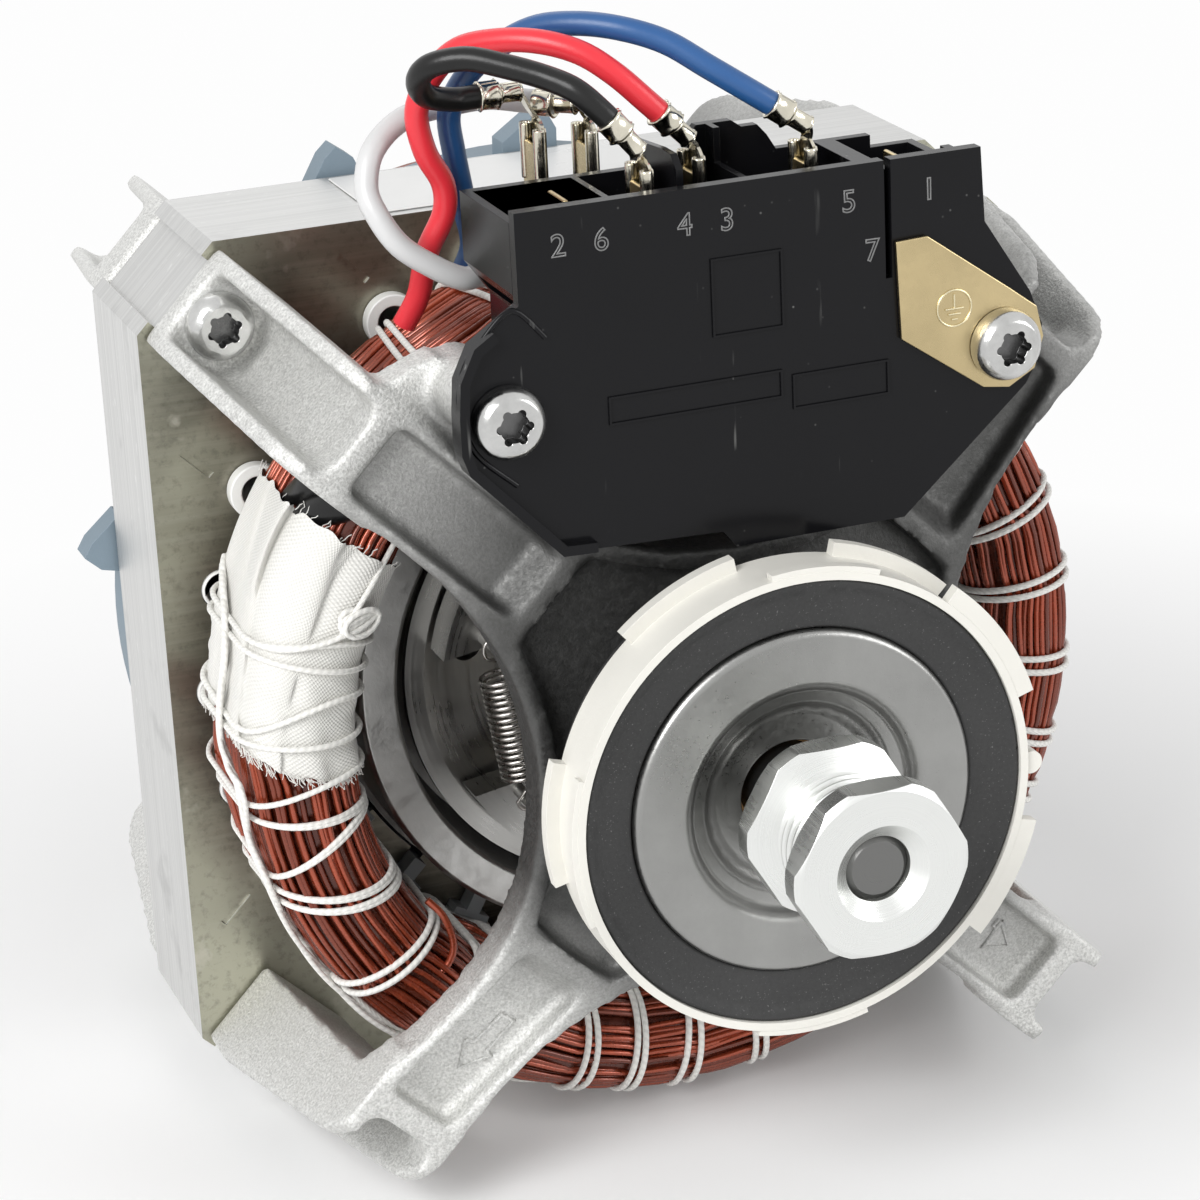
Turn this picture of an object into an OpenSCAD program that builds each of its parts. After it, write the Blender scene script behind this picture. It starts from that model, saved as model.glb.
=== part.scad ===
/* [Stator] */
// Side of the square lamination stack
stator_side = 140; // [132:1:150]
// Length of the lamination stack along the shaft
stack_length = 27; // [22:0.5:40]
// Length of each cut corner along the side
corner_cut = 12.5; // [10:0.5:14]
// Radius of the bore the rotor turns in
bore_r = 46.5; // [46.4:0.1:47.5]
// Number of stator slots
slot_count = 24; // [18:1:28]

/* [Windings] */
// Middle radius of the end turns
bundle_r = 58.4; // [57:0.2:59]
// Thickness of the plain core of the end turns
bundle_core_d = 12.6; // [11.6:0.2:13]
// Diameter of one turn of the outer layer
turn_d = 1.5; // [1.2:0.1:1.6]
// Turns in the outer layer at the front
front_turn_count = 12; // [6:1:12]
// Turns in the outer layer at the back
rear_turn_count = 5; // [3:1:8]

/* [End shields] */
// Length of the front legs from the stack to the arm face
front_leg = 50.8; // [48:0.2:60]
// Length of the rear legs from the stack to the arm face
rear_leg = 46.9; // [44:0.2:60]
// Half width of a leg across its two cheeks
leg_half_w = 8.6; // [8:0.1:9.5]
// Thickness of an arm
arm_t = 7; // [5:0.5:8]
// Distance of the horn tips from the shaft
horn_u = 79.5; // [78:0.5:82]

/* [Mounting rings] */
// Outer radius of the plastic mounting ring between its tabs
ring_r = 34.2; // [33.8:0.1:35]
// Outer radius of the rubber
rubber_r = 33; // [30:0.1:33.2]
// Outer radius of the steel dish
dish_r = 25.5; // [22:0.1:27]
// Length of the mounting ring along the shaft
ring_length = 9; // [6:0.5:10]

/* [Shaft and pulley] */
// Radius of the shaft
shaft_r = 6.35; // [6:0.05:7]
// Length of the shaft behind the rear ring
shaft_tail = 36; // [20:1:60]
// Hexagon of the pulley across its flats
pulley_hex = 23.8; // [20:0.2:26]
// Radius of the belt groove floor
groove_r = 8.4; // [7.5:0.1:10]
// Radius of the rotor stack
rotor_r = 46; // [45.6:0.1:46.1]

/* [Start switch] */
// Width of the switch cover at its top
cover_w = 68; // [62:1:70]
// Height of the cover's top edge above the shaft
cover_top_z = 86.6; // [84:0.2:90]
// Depth of the switch housing
housing_depth = 22; // [20:0.5:24]
// Way that the governor spool slides
spool_stroke = 4; // [2:0.5:5]

/* [Hidden] */

// Gap between parts that are fixed to each other
seat = 0.15;
// Gap between parts that move past each other
clear = 0.3;
// Running gap of a shaft in a bearing
run_gap = 0.04;
fine = 64;
round_fn = 36;
half_side = stator_side / 2;
corner_u = (2 * half_side - corner_cut) / sqrt(2);

// Places along the shaft, from the front ring's face
front_arm_y = 28.8;
stack_front = front_arm_y + front_leg;
stack_back = stack_front + stack_length;
rear_arm_y = stack_back + rear_leg;
rear_ring_y = rear_arm_y + front_arm_y;
// Turn of the rotor at rest
rest_turn = -9;

// A flat shape drawn as seen from the front, made solid from y0 to y1
module plate(y0, y1) {
    translate([0, y1, 0])
    rotate([90, 0, 0])
    linear_extrude(y1 - y0)
    children();
}

// A shape of radius and y turned round the shaft
module turned(fn = fine) {
    rotate([-90, 0, 0])
    rotate_extrude($fn = fn)
    children();
}

module tube_ring(y0, y1, r_out, r_in, fn = fine) {
    plate(y0, y1)
    difference() {
        circle(r_out, $fn = fn);
        circle(r_in, $fn = fn);
    }
}

// Carries what belongs to the rear end to its place, facing backward
module at_rear() {
    translate([0, rear_ring_y, 0])
    mirror([0, 1, 0])
    children();
}

// The same four corners for feet, bolts and chamfers
module each_corner() {
    for (a = [45, 135, 225, 315]) {
        rotate([0, a, 0])
        children();
    }
}

// Stator
slot_w = 6.4;
slot_in_r = 50.4;
back_iron = 4;
slot_end_r = half_side - back_iron - slot_w / 2;
mouth_w = 2.6;
wedge_out = 3.2;
wedge_t = 1.1;
liner_in_r = slot_in_r + wedge_t + 2 * seat;
liner_wall = 0.6;
collar_w = 1.1;
collar_t = 2.4;
rim_w = 2.6;
groove_depth = 1.4;
foot_inset = 0.76;
bolt_inset = 5.9;
foot_u = corner_u - foot_inset;
bolt_u = foot_u - bolt_inset;
bolt_r = 2.4;
bolt_clear_r = 2.7;
dash_x = 36.5;
dash_z = 62.8;
dash_len = 6;
dash_w = 1.1;
dash_depth = 0.5;
slot_step = 360 / slot_count;

// One slot's outline, its inner edge at in_r and its sides moved out by grow
module slot_shape(grow, in_r) {
    w = slot_w + 2 * grow;
    translate([in_r, -w / 2])
    square([slot_end_r - in_r, w]);
    translate([slot_end_r, 0])
    circle(w / 2, $fn = 32);
}

module each_slot() {
    for (i = [0 : slot_count - 1]) {
        rotate([0, i * slot_step, 0])
        children();
    }
}

module core_outline() {
    h = half_side;
    c = corner_cut;
    difference() {
        polygon([
            [-h + c, -h], [h - c, -h], [h, -h + c], [h, h - c],
            [h - c, h], [-h + c, h], [-h, h - c], [-h, -h + c]
        ]);
        for (a = [45 : 90 : 315]) {
            rotate(a)
            translate([corner_u, 0])
            square([2 * groove_depth, corner_cut * sqrt(2) - 2 * rim_w], center = true);
        }
    }
}

module stator_core() {
    color("silver")
    difference() {
        plate(stack_front, stack_back)
        difference() {
            core_outline();
            circle(bore_r, $fn = 96);
            for (i = [0 : slot_count - 1]) {
                rotate(i * slot_step) {
                    slot_shape(0, slot_in_r);
                    translate([bore_r - 1, -mouth_w / 2])
                    square([slot_in_r - bore_r + 2, mouth_w]);
                }
            }
            for (a = [45 : 90 : 315]) {
                rotate(a)
                translate([bolt_u, 0])
                circle(bolt_clear_r, $fn = 32);
            }
        }
        for (sx = [-1, 1]) {
            for (sz = [-1, 1]) {
                for (swap = [0, 1]) {
                    translate([
                        sx * (swap == 0 ? dash_x : dash_z),
                        stack_front,
                        sz * (swap == 0 ? dash_z : dash_x)
                    ])
                    rotate([0, sx * sz * 45, 0])
                    cube([dash_w, 2 * dash_depth, dash_len], center = true);
                }
            }
        }
    }
}

// Liners with a folded collar at each end; those under the sleeve have none in front
module slot_liners() {
    y_in = stack_front - seat;
    y_out = stack_back + seat;
    color("white")
    for (i = [0 : slot_count - 1]) {
        covered = abs(i * slot_step - 180) < 20;
        front_out = covered ? seat + 0.2 : collar_t;
        rotate([0, i * slot_step, 0])
        difference() {
            union() {
                plate(y_in - front_out, y_out + collar_t)
                slot_shape(-seat, liner_in_r);
                if (!covered) {
                    plate(y_in - front_out, y_in)
                    slot_shape(collar_w, liner_in_r);
                }
                plate(y_out, y_out + collar_t)
                slot_shape(collar_w, liner_in_r);
            }
            plate(y_in - collar_t - 1, y_out + collar_t + 1)
            slot_shape(-seat - liner_wall, liner_in_r + liner_wall);
        }
    }
}

// Wedges that close the slot mouths and stand out at both ends
module slot_wedges() {
    y0 = stack_front - wedge_out;
    length = stack_length + 2 * wedge_out;
    color("gainsboro")
    each_slot() {
        translate([bore_r + 0.6, y0, -mouth_w / 2 + seat])
        cube([slot_in_r - bore_r, length, mouth_w - 2 * seat]);
        translate([slot_in_r + seat, y0, -slot_w / 2 + seat])
        cube([wedge_t, length, slot_w - 2 * seat]);
    }
}

// End turns: a rounded bundle in front of the stack and one behind it
core_r = bundle_core_d / 2;
bundle_back = 6.2;
bundle_depth = 27.3;
front_bundle_y = stack_front - bundle_back - bundle_depth + core_r;
rear_bundle_y = stack_back + bundle_back + bundle_depth - core_r;
// The rear bundle lies closer to the shaft
rear_bundle_r = bundle_r - 3;
bar_w = slot_w - 2 * (2 * seat + liner_wall);
bar_in_r = liner_in_r + liner_wall + seat;

// Section of one bundle, from its front circle back to the slots
module bundle_section(y_mid, dir) {
    mid_r = dir > 0 ? bundle_r : rear_bundle_r;
    back = y_mid + dir * (bundle_depth - bundle_core_d);
    translate([mid_r, y_mid])
    circle(core_r, $fn = round_fn);
    translate([mid_r, back])
    circle(core_r, $fn = round_fn);
    translate([mid_r - core_r, min(y_mid, back)])
    square([bundle_core_d, abs(back - y_mid)]);
}

module winding_core() {
    color("saddlebrown") {
        turned()
        bundle_section(front_bundle_y, 1);
        turned()
        bundle_section(rear_bundle_y, -1);
        each_slot() {
            plate(front_bundle_y + 4, rear_bundle_y - 4) {
                translate([(bar_in_r + slot_end_r) / 2, 0])
                square([slot_end_r - bar_in_r, bar_w], center = true);
                translate([slot_end_r, 0])
                circle(bar_w / 2, $fn = 16);
            }
        }
    }
}

// One tube through a list of rings, each [middle, side vector, side vector]
function tube_points(rings, r, sides) = [
    for (g = rings)
        for (s = [0 : sides - 1])
            g[0] + r * cos(360 * s / sides) * g[1] + r * sin(360 * s / sides) * g[2]
];
function tube_faces(n, sides) = concat(
    [
        for (i = [0 : n - 2])
            for (s = [0 : sides - 1])
                for (h = [0, 1])
                    let (t = (s + 1) % sides)
                    h == 0
                        ? [i * sides + s, (i + 1) * sides + s, (i + 1) * sides + t]
                        : [i * sides + s, (i + 1) * sides + t, i * sides + t]
    ],
    [for (s = [1 : sides - 2]) [0, s, s + 1]],
    [
        for (s = [1 : sides - 2])
            [(n - 1) * sides, (n - 1) * sides + s + 1, (n - 1) * sides + s]
    ]
);

module tube(rings, r, sides) {
    polyhedron(tube_points(rings, r, sides), tube_faces(len(rings), sides));
}

// Turns laid side by side over the outer half of a bundle, in one spiral
turn_rings = 24;
// The straight pieces of a loop dip inward by this much between rings
turn_dip = (bundle_r + core_r + turn_d) * (1 - cos(180 / turn_rings));
turn_lay_r = core_r + turn_dip + seat + turn_d / 2;
function spiral_ring(i, n, y_mid, dir) =
    let (
        a = 360 * i / turn_rings,
        f = 180 + 180 * i / n,
        out = [cos(a), 0, sin(a)],
        along = [-sin(a), 0, cos(a)],
        side = cos(f) * out + [0, dir * sin(f), 0]
    )
    [(dir > 0 ? bundle_r : rear_bundle_r) * out + [0, y_mid, 0] + turn_lay_r * side, side, cross(along, side)];
function spiral_rings(count, y_mid, dir) = [
    for (i = [0 : count * turn_rings])
        spiral_ring(i, count * turn_rings, y_mid, dir)
];

module front_turns() {
    color("firebrick")
    tube(spiral_rings(front_turn_count, front_bundle_y, 1), turn_d / 2, 6);
}

module rear_turns() {
    color("firebrick")
    tube(spiral_rings(rear_turn_count, rear_bundle_y, -1), turn_d / 2, 6);
}

// Lacing cord wound round the front bundle, clear of the cloth sleeve.
// Behind the bundle it passes midway between two slots.
lace_d = 1.1;
lace_rings = 12;
lace_start = 217.5;
lace_step = 2 * slot_step;
lace_wraps = floor(270 / lace_step);
lace_first = slot_step * (floor(lace_start / slot_step) + 0.5);
lace_half_w = turn_lay_r + turn_d / 2 + 1.05;
lace_shift = bundle_depth - bundle_core_d;
function lace_turn(i) = lace_first + lace_step
    * (floor(i / lace_rings) + max(0, (i / lace_rings - floor(i / lace_rings)) * 2 - 1));
function lace_point(i) =
    let (
        a = lace_turn(i),
        f = 360 * i / lace_rings,
        r = bundle_r + lace_half_w * cos(f),
        y = front_bundle_y + lace_half_w * sin(f) + (sin(f) > 0.01 ? lace_shift : 0)
    )
    [r * cos(a), y, r * sin(a)];
function unit(v) = v / norm(v);
function lace_list() = [
    for (i = [0 : lace_wraps * lace_rings])
        let (
            t = unit(lace_point(i + 1) - lace_point(i - 1)),
            a = lace_turn(i),
            b = unit(cross(t, [-sin(a), 0, cos(a)]))
        )
        [lace_point(i), b, cross(t, b)]
];

module winding_lacing() {
    color("ivory")
    tube(lace_list(), lace_d / 2, 5);
}

// Woven sleeve round the front bundle on the left side
sleeve_start = 147;
sleeve_sweep = 37;
sleeve_t = 0.9;
sleeve_lift = 0.5;

module sleeve_section(grow) {
    r = turn_lay_r + turn_d / 2 + sleeve_lift + grow;
    back = front_bundle_y + bundle_depth - bundle_core_d;
    translate([bundle_r, front_bundle_y])
    circle(r, $fn = round_fn);
    translate([bundle_r, back])
    circle(r, $fn = round_fn);
    translate([bundle_r - r, front_bundle_y])
    square([2 * r, back - front_bundle_y]);
}

module winding_sleeve() {
    color("white")
    rotate([-90, 0, 0])
    rotate([0, 0, -sleeve_start - sleeve_sweep])
    rotate_extrude(angle = sleeve_sweep, $fn = fine)
    difference() {
        sleeve_section(sleeve_t);
        sleeve_section(0);
        // Open at the back, where the turns go into the slots
        translate([bar_in_r - 0.4, front_bundle_y + lace_shift])
        square([slot_end_r - bar_in_r + bar_w / 2 + 0.8, 20]);
    }
}

// End shields: a hub, four arms in one plane and four channel legs
cheek_t = 2.6;
web_t = 3.2;
inner_back_u = 75;
inner_front_u = 71.2;
foot_t = 8.2;
foot_hollow = 2.4;
hollow_half_w = leg_half_w - cheek_t - 0.15;
counterbore_r = 6.9;
counterbore_depth = foot_hollow + 0.5;
arm_waist_w = 7.6;
window_r = 50;
window_at = 81.4;
hub_out_r = 52;
hub_face_y = 22;
hub_flat_r = 36;
arm_flat_r = 72;
notch_u = 75.1;
notch_half_w = 6.1;
notch_corner = 2.6;
pocket_depth = 4;
pocket_half_w = 5.8;
pocket_u0 = 42.5;
pocket_u1 = 71;
rail_w = 3;
rib_u = 39;
rib_r = 22;
hub_nose_y = 6.2;
boss_r = 15;
bearing_r = 9.2;
bearing_y0 = 9;
bearing_len = 18;
nose_hole_r = shaft_r + 1;
post_r = 5;
post_x = 36.6;
post_z = 58.5;
cover_front_y = 12.3;
cover_t = 2;
post_y = cover_front_y + cover_t + seat;

module leg_cheek(leg) {
    foot = front_arm_y + leg - seat;
    polygon([
        [horn_u - 14, front_arm_y + 1], [horn_u - 0.1, front_arm_y + 1], [horn_u + 0.8, front_arm_y + 2],
        [horn_u + 2.8, front_arm_y + 5.4],
        [foot_u, foot - foot_t], [foot_u, foot], [inner_back_u, foot],
        [inner_front_u, front_arm_y + arm_t + 2], [horn_u - 14, front_arm_y + arm_t - 1]
    ]);
}

module leg_web(leg) {
    foot = front_arm_y + leg - seat;
    polygon([
        [inner_front_u - 2, front_arm_y + 2], [inner_front_u + web_t, front_arm_y + 2],
        [inner_back_u + web_t, foot], [inner_back_u, foot],
        [inner_front_u, front_arm_y + arm_t + 2], [inner_front_u - 2, front_arm_y + arm_t]
    ]);
}

module arm_outline() {
    polygon([
        [48, -arm_waist_w - 0.2], [62, -arm_waist_w], [70, -leg_half_w], [horn_u - 2.2, -leg_half_w],
        [horn_u - 0.6, -leg_half_w + 0.5], [horn_u, -leg_half_w + 1.6], [horn_u, leg_half_w - 1.6],
        [horn_u - 0.6, leg_half_w - 0.5], [horn_u - 2.2, leg_half_w], [70, leg_half_w], [62, arm_waist_w], [48, arm_waist_w + 0.2]
    ]);
}

// Round middle of a shield between the four round windows
module hub_outline(out_r, grow) {
    difference() {
        circle(out_r, $fn = fine);
        for (a = [0 : 90 : 270]) {
            rotate(a)
            translate([window_at, 0])
            circle(window_r + grow, $fn = 180);
        }
    }
}

// Radius and y of the shield's face, moved back by a depth, down to a level
module face_profile(depth, level) {
    polygon([
        [0, hub_face_y + depth - 1.6], [boss_r, hub_face_y + depth - 1], [hub_flat_r, hub_face_y + depth],
        [arm_flat_r, front_arm_y + depth], [horn_u + 20, front_arm_y + depth], [horn_u + 20, level], [0, level]
    ]);
}

// The leg behind one arm along +X
module leg_body(leg) {
    foot = front_arm_y + leg - seat;
    translate([0, 0, leg_half_w - cheek_t])
    linear_extrude(cheek_t)
    leg_cheek(leg);
    translate([0, 0, -leg_half_w])
    linear_extrude(cheek_t)
    leg_cheek(leg);
    translate([0, 0, -leg_half_w + 1])
    linear_extrude(2 * leg_half_w - 2)
    leg_web(leg);
    translate([inner_back_u, foot - foot_t, -leg_half_w])
    cube([foot_u - inner_back_u, foot_t, 2 * leg_half_w]);
}

// What is cut out of one arm and its leg; a headed foot is hollowed for a bolt head
module leg_cuts(leg, headed) {
    foot = front_arm_y + leg - seat;
    floor_y = hub_face_y + pocket_depth + 1.6;
    // Pocket with a sloping inner end
    translate([0, 0, -pocket_half_w])
    linear_extrude(2 * pocket_half_w)
    polygon([
        [pocket_u0 - 1.5, hub_face_y - 4], [pocket_u0 - 1, hub_face_y + 1], [pocket_u0 + 2.5, floor_y],
        [pocket_u1, front_arm_y + pocket_depth], [pocket_u1, hub_face_y - 4]
    ]);
    translate([bolt_u, 0, 0])
    plate(foot - foot_t - 1, foot + 1)
    circle(bolt_clear_r, $fn = 32);
    if (headed) {
        translate([inner_back_u + web_t + 0.4, foot - foot_t - 1, -hollow_half_w])
        cube([20, foot_hollow + 1, 2 * hollow_half_w]);
        translate([bolt_u, 0, 0])
        plate(foot - foot_t - 1, foot - foot_t + counterbore_depth)
        circle(counterbore_r, $fn = 48);
    }
    // Notch with eased corners between the two horns
    plate(front_arm_y - 1, front_arm_y + arm_t + 0.2)
    polygon([
        [notch_u, -notch_half_w + notch_corner], [notch_u + 0.3 * notch_corner, -notch_half_w + 0.3 * notch_corner],
        [notch_u + notch_corner, -notch_half_w], [notch_u + 20, -notch_half_w],
        [notch_u + 20, notch_half_w], [notch_u + notch_corner, notch_half_w],
        [notch_u + 0.3 * notch_corner, notch_half_w - 0.3 * notch_corner], [notch_u, notch_half_w - notch_corner]
    ]);
}

module hub_profile() {
    difference() {
        polygon([
            [nose_hole_r, hub_nose_y], [boss_r, hub_nose_y], [boss_r + 0.6, hub_face_y - 2],
            [rib_r, hub_face_y + pocket_depth + 0.6], [rib_r, hub_face_y + pocket_depth + 2],
            [boss_r, front_arm_y + arm_t - 1], [boss_r - 3, front_arm_y + arm_t - 1], [boss_r - 3, 30.5],
            [nose_hole_r, 30.5]
        ]);
        translate([0, bearing_y0])
        square([bearing_r, bearing_len]);
    }
}

module shield(leg, headed) {
    difference() {
        union() {
            // Face of hub and arms, dished between two turned surfaces
            difference() {
                intersection() {
                    turned(96)
                    face_profile(0, front_arm_y + arm_t + 5);
                    plate(hub_face_y - 4, front_arm_y + arm_t) {
                        hub_outline(hub_out_r, 0);
                        for (a = [45 : 90 : 315]) {
                            rotate(a)
                            arm_outline();
                        }
                    }
                }
                // Back of the hub
                turned(96)
                polygon([
                    [0, hub_face_y + arm_t], [hub_flat_r, hub_face_y + arm_t],
                    [arm_flat_r - 6, front_arm_y + arm_t - 0.6], [arm_flat_r - 6, front_arm_y + arm_t + 5],
                    [0, front_arm_y + arm_t + 5]
                ]);
                // Hollow between the rails and the ribs across the arms
                intersection() {
                    plate(hub_face_y - 5, front_arm_y)
                    hub_outline(rib_u, rail_w);
                    turned(96)
                    polygon([
                        [0, 0], [hub_out_r, 0], [hub_out_r, hub_face_y + pocket_depth + 1],
                        [boss_r, hub_face_y + pocket_depth - 0.4], [0, hub_face_y + pocket_depth - 0.4]
                    ]);
                }
                turned()
                translate([0, -1])
                square([boss_r - 1, 60]);
            }
            each_corner()
            leg_body(leg);
        }
        each_corner()
        leg_cuts(leg, headed);
    }
    turned()
    hub_profile();
}

// Post for a switch screw and its web to the arm, on one side
module switch_post(side) {
    translate([side * post_x, 0, post_z])
    plate(post_y, front_arm_y + arm_t)
    circle(post_r, $fn = 40);
    rotate([0, side > 0 ? -45 : -135, 0])
    mirror([0, 0, side > 0 ? 0 : 1])
    plate(front_arm_y + 0.4, front_arm_y + arm_t - 0.4)
    polygon([[58, 6], [76.5, 6], [76.5, 9.5], [73.5, 16.5], [63.5, 16.5]]);
}

module front_shield() {
    color("silver")
    difference() {
        union() {
            shield(front_leg, true);
            switch_post(-1);
            switch_post(1);
        }
        for (side = [-1, 1]) {
            translate([side * post_x, 0, post_z])
            plate(post_y - 1, post_y + 13)
            circle(2.05, $fn = 24);
        }
    }
}

module rear_shield() {
    color("silver")
    at_rear()
    shield(rear_leg, false);
}

// Bolts that run from the front feet through the stack to the rear feet
head_r = 5.1;
head_t = 3.5;

module torx_head(y_seat, sign) {
    difference() {
        union() {
            turned(40)
            polygon([
                [0, y_seat], [head_r, y_seat], [head_r, y_seat - 1.4],
                [head_r - 0.5, y_seat - 2.6], [head_r - 1.6, y_seat - head_t], [0, y_seat - head_t]
            ]);
        }
        plate(y_seat - head_t - 1, y_seat - 1.1) {
            circle(2.1, $fn = 24);
            for (i = [0 : 5]) {
                rotate(60 * i)
                translate([2.05, 0])
                circle(0.6, $fn = 16);
            }
        }
    }
}

module through_bolts() {
    head_y = stack_front - seat - foot_t + counterbore_depth - seat;
    end_y = stack_back + seat + foot_t - 2.6;
    color("lightgray")
    each_corner()
    translate([bolt_u, 0, 0]) {
        torx_head(head_y);
        plate(head_y - 1, end_y)
        circle(bolt_r, $fn = 32);
    }
}

// Bronze sleeve bearings pressed into the hubs
module bearing() {
    tube_ring(bearing_y0 + seat, bearing_y0 + bearing_len - seat, bearing_r - 0.02, shaft_r + run_gap);
}

module front_bearing() {
    color("darkgoldenrod")
    bearing();
}

module rear_bearing() {
    color("darkgoldenrod")
    at_rear()
    bearing();
}

// Resilient mounting: steel dish, rubber and plastic ring
dish_t = 1.1;
dish_floor_y = 5;
rubber_back_y = 11.8;
module mount_dish() {
    turned()
    polygon([
        [nose_hole_r + 0.3, dish_floor_y], [11.5, dish_floor_y], [13, dish_floor_y - 0.6],
        [14.2, dish_floor_y - 2.2], [16.2, dish_floor_y - 2.6], [17.2, 0.6], [18.4, 0.1],
        [dish_r - 1, 0.1], [dish_r, 0.9], [dish_r, rubber_back_y - 2],
        [dish_r - dish_t, rubber_back_y - 2], [dish_r - dish_t, 1.2 + 0.1],
        [18.6, 1.3], [17.9, dish_floor_y - 1.4], [15, dish_floor_y - 1],
        [13.8, dish_floor_y + 0.4], [12, dish_floor_y + 1], [nose_hole_r + 0.3, dish_floor_y + 1]
    ]);
}

module mount_rubber() {
    turned()
    polygon([
        [dish_r + 0.05, 1.4], [rubber_r - 2.6, 1], [rubber_r - 0.6, 0], [rubber_r - 0.05, 0],
        [rubber_r - 0.05, rubber_back_y], [dish_r + 2.4, rubber_back_y], [dish_r + 0.05, 9]
    ]);
}

// Ring with tabs at both ends: first and last angle, height, and 1 for the back end
tab_len = 1.9;
tab_h = 2.5;
tab_low_h = 0.8;
stop_r = 1.7;
ring_tabs = [
    [17, 50, tab_h, 0], [316, 345, tab_h, 0], [70, 97, tab_low_h, 0], [163, 200, tab_low_h, 0],
    [256, 284, tab_low_h, 0], [46, 77, tab_h - 0.5, 1], [101, 131, tab_h - 0.5, 1],
    [163, 193, tab_h - 0.5, 1]
];

module mount_ring() {
    rotate([0, -225, 0])
    tube_ring(-0.4, ring_length - 0.4, ring_r, rubber_r);
    for (t = ring_tabs) {
        rotate([-90, 0, 0])
        rotate([0, 0, -t[1]])
        rotate_extrude(angle = t[1] - t[0], $fn = 96)
        translate([ring_r - 0.6, t[3] > 0 ? ring_length - 0.5 - tab_len : -0.3])
        square([t[2] + 0.6, tab_len]);
    }
    translate([rubber_r + 0.25 + stop_r, 0, -0.6])
    plate(0.2, ring_length - 1)
    circle(stop_r, $fn = 24);
}

module front_mount_dish() {
    color("lightsteelblue")
    mount_dish();
}

module front_mount_rubber() {
    color("dimgray")
    mount_rubber();
}

module front_mount_ring() {
    color("white")
    mount_ring();
}

module rear_mount_dish() {
    color("lightsteelblue")
    at_rear()
    mount_dish();
}

module rear_mount_rubber() {
    color("dimgray")
    at_rear()
    mount_rubber();
}

module rear_mount_ring() {
    color("white")
    at_rear()
    mount_ring();
}

// Plastic shroud behind the stack with fins that stand past its sides
guard_in_r = slot_end_r + slot_w / 2 + collar_w + 0.3;
guard_r = guard_in_r + 1.1;
guard_len = 12;
// Each fin: its angle, how far it reaches, and 1 where its long slope is on the other side
fins = [[166.7, 76.4, 0], [114, 80, 1], [88.5, 75.7, 1]];

module rear_guard() {
    y0 = stack_back + clear;
    color("slategray") {
        tube_ring(y0, y0 + guard_len, guard_r, guard_in_r, 96);
        for (f = fins) {
            rotate([0, -f[0], 0])
            mirror([0, 0, f[2]])
            plate(y0 + 0.8, y0 + 5.8)
            polygon([
                [guard_in_r + 0.3, -4.2], [f[1] - 4.4, -4.2], [f[1] - 0.8, 0.8], [f[1], 3.2],
                [f[1] - 3, 4.9], [guard_in_r + 0.3, 4.9]
            ]);
        }
    }
}

module label_plate() {
    color("whitesmoke")
    translate([-32, stack_front + 2, half_side + 0.05])
    cube([50, stack_length - 4, 0.35]);
}

// Start switch: cover, housing, terminals and lever
w_half = cover_w / 2;
ear_z = 74;
housing_y0 = post_y;
housing_y1 = cover_front_y + housing_depth;
housing_bottom_z = 48;
housing_half_w = 30.5;
cell_floor_z = 71;
cell_y0 = housing_y0 + 1.8;
cell_y1 = housing_y1 - 1.6;
cell_edges = [[-w_half + 1.4, -18.4], [-17.4, -9.2], [-8.2, 1.8], [2.8, 18.4], [21.4, w_half - 1.4]];
split_x = 19.4;
split_w = 1;
split_z = 70;
rim_out = 1.6;

module cover_outline() {
    polygon([
        [-w_half, cover_top_z], [-w_half, ear_z], [-41, 69.5], [-43.2, 65], [-43.6, 60],
        [-43.6, 55], [-42.6, 52], [-30, 38.5], [-6, 37.5], [-4, 35], [21.5, 35],
        [40.6, 51.6], [42.6, 55], [43.2, 60], [41.4, 65], [w_half + 0.5, ear_z + 2],
        [w_half, cover_top_z]
    ]);
}

module switch_cover() {
    color("dimgray") {
        plate(cover_front_y, cover_front_y + cover_t)
        difference() {
            cover_outline();
            translate([split_x, split_z])
            square([split_w, 40]);
            for (side = [-1, 1]) {
                translate([side * post_x, post_z])
                circle(2.3, $fn = 24);
            }
        }
        // Raised rim round the left ear
        plate(cover_front_y - rim_out, cover_front_y + 0.5)
        polygon([
            [-38.2, 71.3], [-41, 69.5], [-43.2, 65], [-43.6, 60], [-43.6, 55], [-42.6, 52],
            [-30, 38.5], [-25, 38.3], [-25, 39.7], [-29.4, 39.9], [-41.5, 52.9],
            [-42.2, 55.4], [-42.2, 60], [-41.9, 64.6], [-40, 68.4], [-37.4, 70.1]
        ]);
    }
}

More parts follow.
